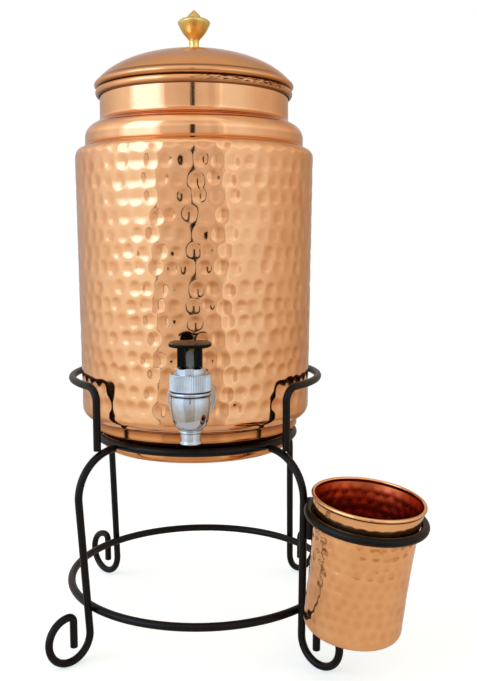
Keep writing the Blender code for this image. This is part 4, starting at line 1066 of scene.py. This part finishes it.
@dataclass
class Tap:
    """Lever tap: plated body and fluted cap, stem, black lever, and its seals; heights are from the shank's axis."""

    finishes: Finishes
    wall_reach: float = 0.088249
    shank_radius: float = 0.0078
    shank_bore: float = 0.0040
    shank_neck: float = 0.0054
    shank_end: float = 0.0725
    collar_radius: float = 0.0120
    collar_thickness: float = 0.0030
    washer_radius: float = 0.0167
    washer_thickness: float = 0.0030
    chamber_radius: float = 0.0090
    chamber_floor: float = -0.0100
    spout_end: float = -0.0266
    spout_radius: float = 0.0069
    spout_lip: Pair = (0.0076, 0.0016)  # radius, and length along the axis
    spout_bore: float = 0.0046
    flange_bottom: float = -0.0190
    flange_radius: float = 0.0081
    flange_groove: float = 0.0004
    egg_bottom: Pair = (0.0078, -0.0164)  # radius and height, as the next three
    egg_widest: Pair = (0.0136, 0.0020)
    body_top: Pair = (0.0133, 0.0057)
    body_neck: Pair = (0.0118, 0.0132)
    cap_bead: Pair = (0.0146, 0.0026)  # radius, and length along the axis
    cap_radius: float = 0.0139
    cap_top: float = 0.0204
    cap_wall: float = 0.0018
    cap_flutes: int = 56
    flute_depth: float = 0.00046
    flute_reach: float = 0.0010  # how far inside the cap's radius a point still belongs to the flutes
    bonnet: Pair = (0.0103, 0.0243)  # radius and top
    room: Pair = (0.0080, 0.0175)  # radius and top of the hollow for the stem's seal
    shelf: float = 0.0149  # height of the cap's inner shelf
    spring_radii: Pair = (0.0049, 0.00045)  # of the coil and of its wire
    spring_reach: Pair = (0.0062, 0.0170)  # heights of its ends
    spring_turns: int = 5
    stem_radius: float = 0.0031
    stem_tip: Pair = (0.0026, -0.0070)  # radius and height
    stem_collar: Triple = (0.0060, 0.0010, 0.0025)  # radius, bottom and top
    sunk: float = 0.0020  # by which the stem reaches into its head
    head_size: Pair = (0.0056, 0.0060)  # across and along
    head_heights: Triple = (0.0250, 0.0344, 0.0364)  # foot, eaves and ridge
    pin_height: float = 0.0312
    pin_radius: float = 0.0012
    cheek_thickness: float = 0.0050
    cheek_back: float = 0.0062
    throw: float = 0.0055  # lift of the cam for each radian
    range: float = 30.0  # degrees that the lever turns
    plate_bottom: float = 0.0074
    plate_thickness: float = 0.0022
    plate_width: float = 0.0285
    plate_depth: float = 0.0200
    plate_back: float = 0.0085
    plate_power: float = 2.7  # 2 is an ellipse, more is squarer
    plate_slope: float = 5.0  # degrees by which the plate falls to the front
    thread: Pair = (0.0015, 0.0003)  # pitch and depth
    thread_runout: float = 0.0040  # from the thread's end to the drum's wall
    shank_chamfer: float = 0.0008
    cap_bead_round: float = 0.0012
    crown_round: float = 0.0008
    flute_ends: Triple = (0.0006, 0.0012, 0.0002)  # over which flutes start and end, and how far past the top
    washer_round: float = 0.0007
    washer_back: float = 0.6  # rounding of its back edge, as a share of the front's
    # Radius of the drum's wall at a height from the shank's axis, and how much it gains over how far up
    drum_wall: tuple[float, float, float, float] = (0.088302, 0.0086, 0.0022, 0.1881)
    roundings: Triple = (0.0005, 0.0011, 0.0007)  # of the head, the plate and the cheeks
    edge: float = 0.0003  # cut of the body's turned edges
    # painted shade: dark lines at the edges and joints of the body and the cap
    body_seams: tuple[Pair, ...] = ((0.0005, 0.9), (0.0004, 0.8), (0.0003, 0.7))
    body_seam_depth: float = 0.0090
    cap_seams: tuple[Pair, ...] = ((0.0004, 0.9), (0.0004, 0.9), (0.0003, 0.5))
    run: float = 0.0008  # longest run between rows of points of body and cap
    moulded_run: float = 0.0012  # the same round the head and the cheeks
    steps: int = 96
    shank_steps: int = 64
    sharp: float = 30.0  # angle in degrees above which an edge of the plated pieces stays sharp

    def upright(self, height: float = 0.0) -> Matrix:
        """Placement on the tap's axis at a height from the shank's axis."""
        return on_axis(SHANK_HEIGHT + height, TAP_REACH)

    def level(self) -> Matrix:
        """Placement that lays a piece turned about Z along the shank, from the vessel's axis to the front."""
        return on_axis(SHANK_HEIGHT) @ UPRIGHT_TO_LEVEL

    def fit(self, name: str, surface: Surface, body: Body, finish: Finish, node: str, height: float = 0.0,
            crease: float = 38.0) -> None:
        """Piece on the tap's axis."""
        lay(name, surface.moved(self.upright(height)), body, finish, node, crease)

    def body_profile(self) -> np.ndarray:
        """Closed profile of the body: spout and lip, flange with its groove, egg, neck, and the bore back down."""
        lip_radius, lip_height = self.spout_lip
        low_radius, low = self.egg_bottom
        wide_radius, wide = self.egg_widest
        groove = (self.flange_bottom + low) / 2
        turn = np.radians(np.linspace(0, 90, 24))
        height = wide - (wide - low) * np.cos(turn)
        share = (wide - height) / (wide - low)
        egg = np.column_stack((low_radius + (wide_radius - low_radius) * np.sqrt(1 - share ** 2), height))
        outer = chained((self.spout_bore, self.spout_end), (lip_radius, self.spout_end),
                        (lip_radius, self.spout_end + lip_height / 2), (self.spout_radius, self.spout_end + lip_height),
                        (self.spout_radius, self.flange_bottom), (self.flange_radius, self.flange_bottom),
                        (self.flange_radius, groove - self.flange_groove),
                        (self.flange_radius - self.flange_groove, groove),
                        (self.flange_radius, groove + self.flange_groove), (self.flange_radius, low))
        upper = chained(egg[-1], self.body_top, (self.body_neck[0], self.body_top[1]), self.body_neck,
                        (self.chamber_radius, self.body_neck[1]), (self.chamber_radius, self.chamber_floor),
                        (self.spout_bore, self.chamber_floor), (self.spout_bore, self.spout_end))
        return chained(eased(outer, self.edge, 3), egg, eased(upper, self.edge, 3)[:-1])

    def shank_profile(self) -> np.ndarray:
        """Closed profile of the shank: threaded run as a sine of the thread's pitch, collar, and the thinner neck."""
        pitch, depth = self.thread
        back = self.wall_reach + GAP + self.washer_thickness + GAP
        run = np.linspace(self.shank_end + self.shank_chamfer, self.wall_reach - self.thread_runout, 60)
        thread = self.shank_radius - depth * (1 - np.cos(2 * np.pi * (run - self.shank_end) / pitch)) / 2
        collar = eased(chained((self.shank_radius, back), (self.collar_radius, back),
                               (self.collar_radius, back + self.collar_thickness),
                               (self.shank_neck, back + self.collar_thickness)), 2 * self.edge, 4)
        end = TAP_REACH - self.chamber_radius
        return chained((self.shank_bore, self.shank_end), (self.shank_radius - self.shank_chamfer, self.shank_end),
                       np.column_stack((thread, run)), collar, (self.shank_neck, end), (self.shank_bore, end))

    def build_body(self) -> None:
        """Body and shank, which meet inside the egg's wall, as one piece."""
        profile = refined(self.body_profile(), self.run)
        seams = crevice(profile, (self.body_top[1], self.egg_bottom[1], self.flange_bottom), self.body_seams,
                        self.body_seam_depth)
        body = turned(profile, self.steps, ring=True, crevice=seams).moved(self.upright())
        shank = turned(self.shank_profile(), self.shank_steps, ring=True).moved(self.level())
        lay("tap_plated_body", joined(body, shank), Body.VESSEL, self.finishes.chrome, "tap_body", self.sharp)
        dress(self.finishes.chrome, "tap_lock_nut")

    def build_cap(self) -> None:
        """Cap: its wall is pressed in by depth x (1 + cos(flutes x t)) / 2 between bead and top."""
        low = self.body_top[1] + GAP
        top = low + self.cap_bead[1]
        bulge, ease, chamfer = self.cap_bead_round, self.crown_round, 0.0005
        bead = chained((self.cap_radius - self.cap_wall, low), (self.cap_radius, low),
                       arc((self.cap_bead[0] - bulge, low + self.cap_bead[1] / 2), bulge, -80, 80, 10),
                       (self.cap_radius - 2 * self.flute_depth, top))
        start = top + self.flute_depth
        wall = chained((self.cap_radius, start), (self.cap_radius, self.cap_top - ease))
        crown = chained(arc((self.cap_radius - ease, self.cap_top - ease), ease, 0, 90, 5),
                        (self.bonnet[0], self.cap_top), (self.bonnet[0], self.bonnet[1] - chamfer),
                        (self.bonnet[0] - chamfer, self.bonnet[1]), (self.stem_radius + GAP, self.bonnet[1]),
                        (self.stem_radius + GAP, self.room[1]), self.room, (self.room[0], self.shelf),
                        (self.cap_radius - self.cap_wall, self.shelf))
        profile = chained(bead, refined(wall, self.run), crown)
        steps = self.cap_flutes * 8
        height = profile[:, 1:]
        below, above, past = self.flute_ends
        fade = fading(height - top, 0, below) * fading(self.cap_top + past - height, 0, above)
        on_wall = profile[:, :1] > self.cap_radius - self.flute_reach
        dents = self.flute_depth * (1 + np.cos(self.cap_flutes * around(steps))) / 2 * fade * on_wall
        seams = crevice(profile, (low, top, self.cap_top), self.cap_seams)
        cap = turned(profile, steps, ring=True, dents=dents, crevice=seams)
        self.fit("tap_fluted_cap", cap, Body.VESSEL, self.finishes.chrome, "tap_cap", crease=self.sharp)
        dress(self.finishes.silicone, "cap_gasket", "stem_seal")

    def build_spring(self) -> None:
        """Return spring, a helix: radius x (cos t, sin t) at a height that grows with t, above the stem's full lift."""
        mean, wire = self.spring_radii
        turn = np.linspace(0, 2 * np.pi * self.spring_turns, 24 * self.spring_turns + 1)
        path = np.column_stack((mean * np.cos(turn), mean * np.sin(turn), np.linspace(*self.spring_reach, len(turn))))
        coil = swept(path, np.full(len(path), wire), UP, 10)
        self.fit("tap_return_spring", coil, Body.VESSEL, self.finishes.steel, "tap_spring")

    def build_washers(self) -> None:
        """Outer washer whose back follows the drum: y = -sqrt(R(z)^2 - x^2); the inner one keeps its CAD shape."""
        front = self.wall_reach + GAP + self.washer_thickness
        hole = self.shank_radius + GAP
        azimuth = around(self.steps)
        ease = self.washer_round
        rim = arc((self.washer_radius - ease, 0), ease, 90, 0, 5)
        radius = np.concatenate(((hole,), rim[:, 0], rim[::-1, 0][1:], (hole,)))[:, None]
        behind = (np.arange(len(radius)) > len(rim))[:, None]
        x = radius * np.sin(azimuth)
        z = -radius * np.cos(azimuth)
        middle, level, gain, over = self.drum_wall
        wall = middle + gain * (z - level) / over + GAP
        touch = -np.sqrt(wall ** 2 - x ** 2)
        shy = ease - rim[:, 1]
        give = np.concatenate(((0,), shy, shy[::-1][1:], (0,)))[:, None]
        y = np.where(behind, touch - give * self.washer_back, -front + give)
        grid = np.stack(np.broadcast_arrays(x, y, z), axis=-1)
        quads, tris = woven(len(radius), self.steps, True, False, False)
        washer = Surface(grid.reshape(-1, 3), quads, tris).outward().moved(on_axis(SHANK_HEIGHT))
        lay("tap_outer_seal", washer, Body.VESSEL, self.finishes.silicone, "tap_outer_washer")
        dress(self.finishes.silicone, "tap_inner_washer")

    def build_stem(self) -> None:
        """Stem turned about its axis, its gabled head, and the lever's pin."""
        bottom, shoulder, top = self.head_heights
        collar_radius, collar_low, collar_high = self.stem_collar
        shaft = chained((0, self.stem_tip[1]), self.stem_tip, (self.stem_tip[0], collar_low),
                        (collar_radius, collar_low), (collar_radius, collar_high), (self.stem_radius, collar_high),
                        (self.stem_radius, bottom + self.sunk), (0, bottom + self.sunk))
        half = self.head_size[0] / 2
        gable = np.array(((-half, bottom), (half, bottom), (half, shoulder), (0, top), (-half, shoulder)))
        gable = eased(np.vstack((gable, gable[:1])), self.roundings[0], 3)[:-1]
        deep = self.head_size[1] / 2
        head = pillow(refined(gable, self.moulded_run), -deep, deep, self.roundings[0])
        stem = joined(turned(shaft, 48), head.moved(UPRIGHT_TO_LEVEL))
        self.fit("tap_stem_and_head", stem, Body.STEM, self.finishes.grey, "tap_stem")
        end = half + GAP + self.cheek_thickness
        path = np.column_stack((np.linspace(-end, end, 6), np.zeros((6, 2))))
        pin = rounded_bar(path, self.pin_radius, self.edge, UP)
        self.fit("tap_lever_pin", pin, Body.STEM, self.finishes.steel, "lever_pin", self.pin_height)
        dress(self.finishes.silicone, "tap_seat")

    def cheek_outline(self) -> np.ndarray:
        """Side of a cheek as (forward, up) from the pin: flat back, cam that lifts evenly, and up to the plate."""
        rest = self.pin_height - self.bonnet[1] - GAP
        turn = np.radians(self.range) * np.linspace(0, 1, 14)
        depth = rest + self.throw * turn
        forward = self.throw * np.cos(turn) + depth * np.sin(turn)
        cam = np.column_stack((-forward, self.throw * np.sin(turn) - depth * np.cos(turn)))
        rise = self.plate_bottom + self.plate_thickness / 2
        fall = math.tan(math.radians(self.plate_slope))
        loop = chained((self.cheek_back, -rest), cam, (cam[-1, 0], rise + fall * cam[-1, 0]),
                       (self.cheek_back, rise + fall * self.cheek_back))
        return refined(np.vstack((loop, loop[:1])), self.moulded_run)[:-1]

    def build_lever(self) -> None:
        """Lever: plate with outline |x/a|^p + |y/b|^p = 1 on two cheeks that straddle the stem."""
        turn = around(72)
        power = 2 / self.plate_power
        across, along = (size / 2 * np.sign(wave) * np.abs(wave) ** power
                         for size, wave in ((self.plate_width, np.cos(turn)), (self.plate_depth, np.sin(turn))))
        outline = np.column_stack((across, self.plate_back - self.plate_depth / 2 + along))
        half = self.plate_thickness / 2
        slope = Matrix.Translation((0, 0, self.plate_bottom + half)) @ Matrix.Rotation(
            math.radians(self.plate_slope), 4, "X")
        parts = [pillow(outline, -half, half, self.roundings[1]).moved(slope)]
        inner = self.head_size[0] / 2 + GAP
        swap = Matrix(((0, 0, 1, 0), (1, 0, 0, 0), (0, 1, 0, 0), (0, 0, 0, 1)))
        for low in (-inner - self.cheek_thickness, inner):
            cheek = pillow(self.cheek_outline(), low, low + self.cheek_thickness, self.roundings[2])
            parts.append(cheek.moved(swap))
        lever = joined(*(part.outward() for part in parts))
        self.fit("tap_black_lever", lever, Body.LEVER, self.finishes.black, "tap_lever", self.pin_height)

    def build(self) -> None:
        """All of the tap."""
        self.build_body()
        self.build_cap()
        self.build_spring()
        self.build_washers()
        self.build_stem()
        self.build_lever()


@dataclass
class Tumbler:
    """Hammered copper tumbler that leans in the holder's ring."""

    finishes: Finishes
    origin: Triple = (0.081107, -0.082799, 0.03662)
    height: float = 0.0954
    rim_radius: float = 0.0375
    foot_radius: float = 0.0336
    corner: float = 0.0060
    flare: float = 3.6
    belling: float = 0.0010  # by which the last stretch below the lip opens out further
    lip: float = 0.0012
    columns: int = 260
    low_fade: Pair = (0.004, 0.009)  # heights at which marks are gone and full
    high_fade: Triple = (0.0075, 0.0040, 0.0045)  # below the rim outside, the same inside, and over what height
    middle: float = 0.0020  # radius of the plain middle of the foot
    foot_run: float = 0.0060
    # painted shade under the rolled lip
    seams: tuple[Pair, ...] = ((0.0006, 0.8),)
    marks: HammerMarks = HammerMarks(0.0072, 0.0068, 0.0041, 0.00027, 0.0010, 11)

    def radius(self, share: np.ndarray) -> np.ndarray:
        """Outer radius at a share of the height: foot + widening x share^flare + belling x share^16."""
        widening = (self.rim_radius - self.foot_radius) * share ** self.flare
        return self.foot_radius + widening + self.belling * share ** 16

    def build(self) -> None:
        """Tumbler's outer wall with its marks, rolled lip, and inner wall painted darker and redder as shade."""
        lip_height = self.height - self.lip
        first = self.corner / self.height
        share = np.linspace(first, (lip_height - self.lip) / self.height, 92)
        corner_r = float(self.radius(np.array(first))) - self.corner
        outer = chained((0, 0), refined(chained((self.middle, 0), (corner_r, 0)), self.foot_run),
                        arc((corner_r, self.corner), self.corner, -90, 0, 8),
                        np.column_stack((self.radius(share), share * self.height)))
        lip = arc((self.rim_radius + self.belling - self.lip, lip_height), self.lip, -30, 180, 14)
        inner = chained(np.column_stack((self.radius(share) - SHEET, share * self.height))[::-1],
                        arc((corner_r, self.corner), self.corner - SHEET, 0, -90, 8), (0, SHEET))
        profile = chained(outer, lip, inner)
        height = profile[:, 1:]
        lining = (np.arange(len(profile)) >= len(outer) + len(lip) - 2).astype(float)[:, None]
        below, below_inside, over = self.high_fade
        top = self.height - np.where(lining > 0, below_inside, below)
        depth = self.marks.depth_map(self.columns, height, 2 * math.pi * self.foot_radius)
        depth *= fading(height, *self.low_fade) * fading(top - height, 0, over)
        seam = crevice(profile, (lip_height - self.lip,), self.seams) * (1 - lining)
        # the inner wall mark carries painted shade into the finish, and the dent mark painted shade at the bottom of
        # each mark
        cup = turned(profile, self.columns, dents=depth * (1 - 2 * lining), dent=depth, lining=lining, crevice=seam)
        place = Matrix.Translation(self.origin) @ leaning(4)
        lay("hammered_tumbler", cup.moved(place), Body.TUMBLER, self.finishes.tumbler, "tumbler", HAMMERED_CREASE)


# Studio


@dataclass(frozen=True)
class Card:
    """Lamp cloth or black card in the tent, by the degrees that it fills from the object, with soft edges."""

    left: float
    right: float
    bottom: float
    top: float
    soft_across: float
    soft_up: float
    colour: str
    strength: float


@dataclass
class Studio:
    """White tent round a white table, brighter and cooler on the left, warmer on the right, dark behind the lens."""

    camera_place: Triple = (-0.0056, -0.63712, 0.29871)
    camera_down: float = 6.52
    camera_right: float = 0.955
    lens: float = 44.77
    sensor: float = 36.0
    clip: float = 0.01
    floor_radius: float = 0.30
    floor_thickness: float = 0.0004
    floor_grain: float = 0.004
    floor_colours: tuple[str, str] = ("e6dbd0", "e3d8cc")
    floor_roughness: float = 0.6
    floor_sheen: float = 0.2
    glow_colour: str = "e2f6fc"
    glow_seen: float = 0.64  # light that the floor adds of itself, as the lens sees it
    glow_mirrored: float = 0.02  # the same in what metal mirrors
    # Azimuth from the lens in degrees, then the colour that the tent's wall shows there and its strength
    walls: tuple[Stop, ...] = (
        (-180.0, "bcb2b0", 1.00), (-150.0, "bcb2b0", 1.00), (-127.0, "d2c8c2", 1.00), (-108.0, "eae4e2", 1.00),
        (-92.0, "fafafc", 1.00), (-60.0, "f6fbff", 1.12), (-35.0, "f6fbff", 1.12),
        (-32.4, "ece6e4", 1.00), (-13.0, "e0d7d3", 1.00), (-3.0, "dcd2cd", 1.00),
        (3.0, "ddd4ce", 1.00), (17.0, "e4dbd6", 1.00), (20.0, "d8cec8", 1.00), (25.0, "dad0ca", 1.00),
        (27.0, "e8e2de", 1.00), (31.5, "f0ebe8", 1.00), (32.5, "ffffff", 1.15), (34.0, "ffffff", 1.15),
        (35.0, "f8fbff", 1.00), (60.0, "f2f2f2", 1.00), (79.0, "e4d8cc", 1.00), (108.0, "d6c2b0", 1.00),
        (130.0, "c0a890", 1.00), (150.0, "b4a08e", 1.00), (180.0, "bcb2b0", 1.00))
    # The same by elevation, as a tint on the walls
    heights: tuple[Stop, ...] = (
        (-90.0, "e2d0bc", 1.00), (-40.0, "ceb294", 1.00), (-22.0, "e0ceba", 1.00), (-13.0, "faf3ea", 1.00),
        (-6.0, "ffffff", 1.02), (0.0, "ffffff", 1.02), (9.0, "ffffff", 1.04), (17.0, "ffffff", 1.34),
        (40.0, "ffffff", 1.04), (90.0, "ffffff", 1.00))
    ceiling: tuple[str, float] = ("e2cfba", 1.00)
    ceiling_edge: Pair = (38.0, 66.0)  # elevations over which the walls turn into it
    cards: tuple[Card, ...] = (
        Card(-115.0, 50.0, 46.0, 80.0, 6.0, 6.0, "fff4e8", 1.08),
        Card(-77.0, -37.0, 7.0, 44.0, 6.0, 6.5, "c4dcff", 3.40),
        Card(-35.4, -34.0, -20.0, 3.0, 0.3, 2.0, "5a3826", 1.00),
        Card(-2.5, 2.5, -7.0, 20.0, 0.4, 1.5, "0a0606", 1.00))

    def ramp(self, tree: Tree, value: Socket, high: float, stops: tuple[Stop, ...]) -> Socket:
        """Colour of the stops along an angle in degrees, from one limit to the same one above zero."""
        share = between(tree, value, (math.radians(-high), math.radians(high)))
        ramp = add(tree, "ShaderNodeValToRGB", {"Fac": share})
        elements = ramp.color_ramp.elements
        for _ in range(len(stops) - 2):
            elements.new(0.5)
        for element, (angle, _, _) in zip(list(elements), stops):
            element.position = (angle + high) / (2 * high)
        for element, (_, code, strength) in zip(elements, stops):
            element.color = self.light(code, strength)
        return ramp.outputs["Color"]

    def light(self, code: str, strength: float) -> tuple[float, float, float, float]:
        """Linear colour of a hex code at a strength."""
        return (*(channel * strength for channel in linear(code)[:3]), 1.0)

    def inside(self, tree: Tree, value: Socket, low: float, high: float, soft: float) -> Socket:
        """Share that is 1 between two angles in degrees and falls smoothly to 0 across a soft edge at each."""
        edges = [between(tree, value, (math.radians(angle - way * soft), math.radians(angle + way * soft)),
                         interpolation_type="SMOOTHSTEP") for angle, way in ((low, 1), (high, -1))]
        return reckoned(tree, "MULTIPLY", *edges)

    def straight(self, tree: Tree) -> Socket:
        """1 for rays of the lens, also through clear pieces, and 0 for all others."""
        rays = add(tree, "ShaderNodeLightPath").outputs
        return reckoned(tree, "MAXIMUM", rays["Is Camera Ray"], rays["Is Transmission Ray"])

    def build_world(self) -> None:
        """World: white to the lens; the object is lit by the tent's walls, ceiling and cards, and mirrors them."""
        world = bpy.data.worlds.new("white_tent")
        bpy.context.scene.world = world
        world.use_nodes = True
        tree = world.node_tree
        way = add(tree, "ShaderNodeTexCoord").outputs["Generated"]
        parts = add(tree, "ShaderNodeSeparateXYZ", {0: way}).outputs
        azimuth = reckoned(tree, "ARCTAN2", parts[0], reckoned(tree, "MULTIPLY", parts[1], -1.0))
        up = reckoned(tree, "ARCSINE", parts[2])
        room = blend(tree, 1.0, self.ramp(tree, azimuth, 180, self.walls), self.ramp(tree, up, 90, self.heights),
                     "MULTIPLY")
        above = between(tree, up, tuple(math.radians(angle) for angle in self.ceiling_edge))
        room = blend(tree, above, room, self.light(*self.ceiling))
        for card in self.cards:
            share = reckoned(tree, "MULTIPLY", self.inside(tree, azimuth, card.left, card.right, card.soft_across),
                             self.inside(tree, up, card.bottom, card.top, card.soft_up))
            room = blend(tree, share, room, self.light(card.colour, card.strength))
        seen = blend(tree, self.straight(tree), room, "ffffff")
        fill(tree, tree.nodes["Background"], {"Color": seen, "Strength": 1.0})

    def build_floor(self) -> None:
        """Round white table top that keeps the object's soft shadow and looks white to the lens, metal and glass."""
        made = bpy.data.materials.new("white_table_laminate")
        made.use_nodes = True
        tree = made.node_tree
        shader = tree.nodes["Principled BSDF"]
        grain = cloud(tree, placed(tree), self.floor_grain)
        fill(tree, shader, {"Base Color": blend(tree, grain, *self.floor_colours),
                            "Roughness": self.floor_roughness, "Specular IOR Level": self.floor_sheen})
        mirrored = between(tree, add(tree, "ShaderNodeLightPath").outputs["Is Glossy Ray"], (0, 1),
                           (0.0, self.glow_mirrored))
        seen = between(tree, self.straight(tree), (0, 1), (0.0, self.glow_seen))
        glow = add(tree, "ShaderNodeEmission",
                   {"Color": self.glow_colour, "Strength": reckoned(tree, "MAXIMUM", seen, mirrored)})
        both = add(tree, "ShaderNodeAddShader", {0: shader.outputs[0], 1: glow.outputs[0]})
        fill(tree, tree.nodes["Material Output"], {"Surface": both.outputs[0]})
        under = -self.floor_thickness
        disc = turned(np.array(((0.0, under), (self.floor_radius, under), (self.floor_radius, 0.0), (0.0, 0.0))), 96)
        mesh = bpy.data.meshes.new("floor")
        mesh.from_pydata(disc.points.tolist(), [], disc.quads.tolist() + disc.tris.tolist())
        mesh.materials.append(made)
        floor = bpy.data.objects.new("floor", mesh)
        bpy.context.scene.collection.objects.link(floor)

    def build_camera(self) -> None:
        """Camera at the photograph's place."""
        data = bpy.data.cameras.new("camera")
        data.lens = self.lens
        data.sensor_width = self.sensor
        data.clip_start = self.clip
        made = bpy.data.objects.new("camera", data)
        bpy.context.scene.collection.objects.link(made)
        made.location = self.camera_place
        made.rotation_euler = (math.radians(90 - self.camera_down), 0.0, math.radians(-self.camera_right))
        bpy.context.scene.camera = made

    def build(self) -> None:
        """World, floor, camera and the plain view."""
        self.build_world()
        self.build_floor()
        self.build_camera()
        bpy.context.scene.view_settings.view_transform = "Standard"


def main() -> None:
    """Build the studio and every sub-assembly."""
    logging.basicConfig(level=logging.INFO, format="%(message)s")
    finishes = Finishes.make()
    Studio().build()
    for assembly in (Stand(finishes), Vessel(finishes), Lid(finishes), Tap(finishes), Tumbler(finishes)):
        assembly.build()


if __name__ == "__main__":
    main()
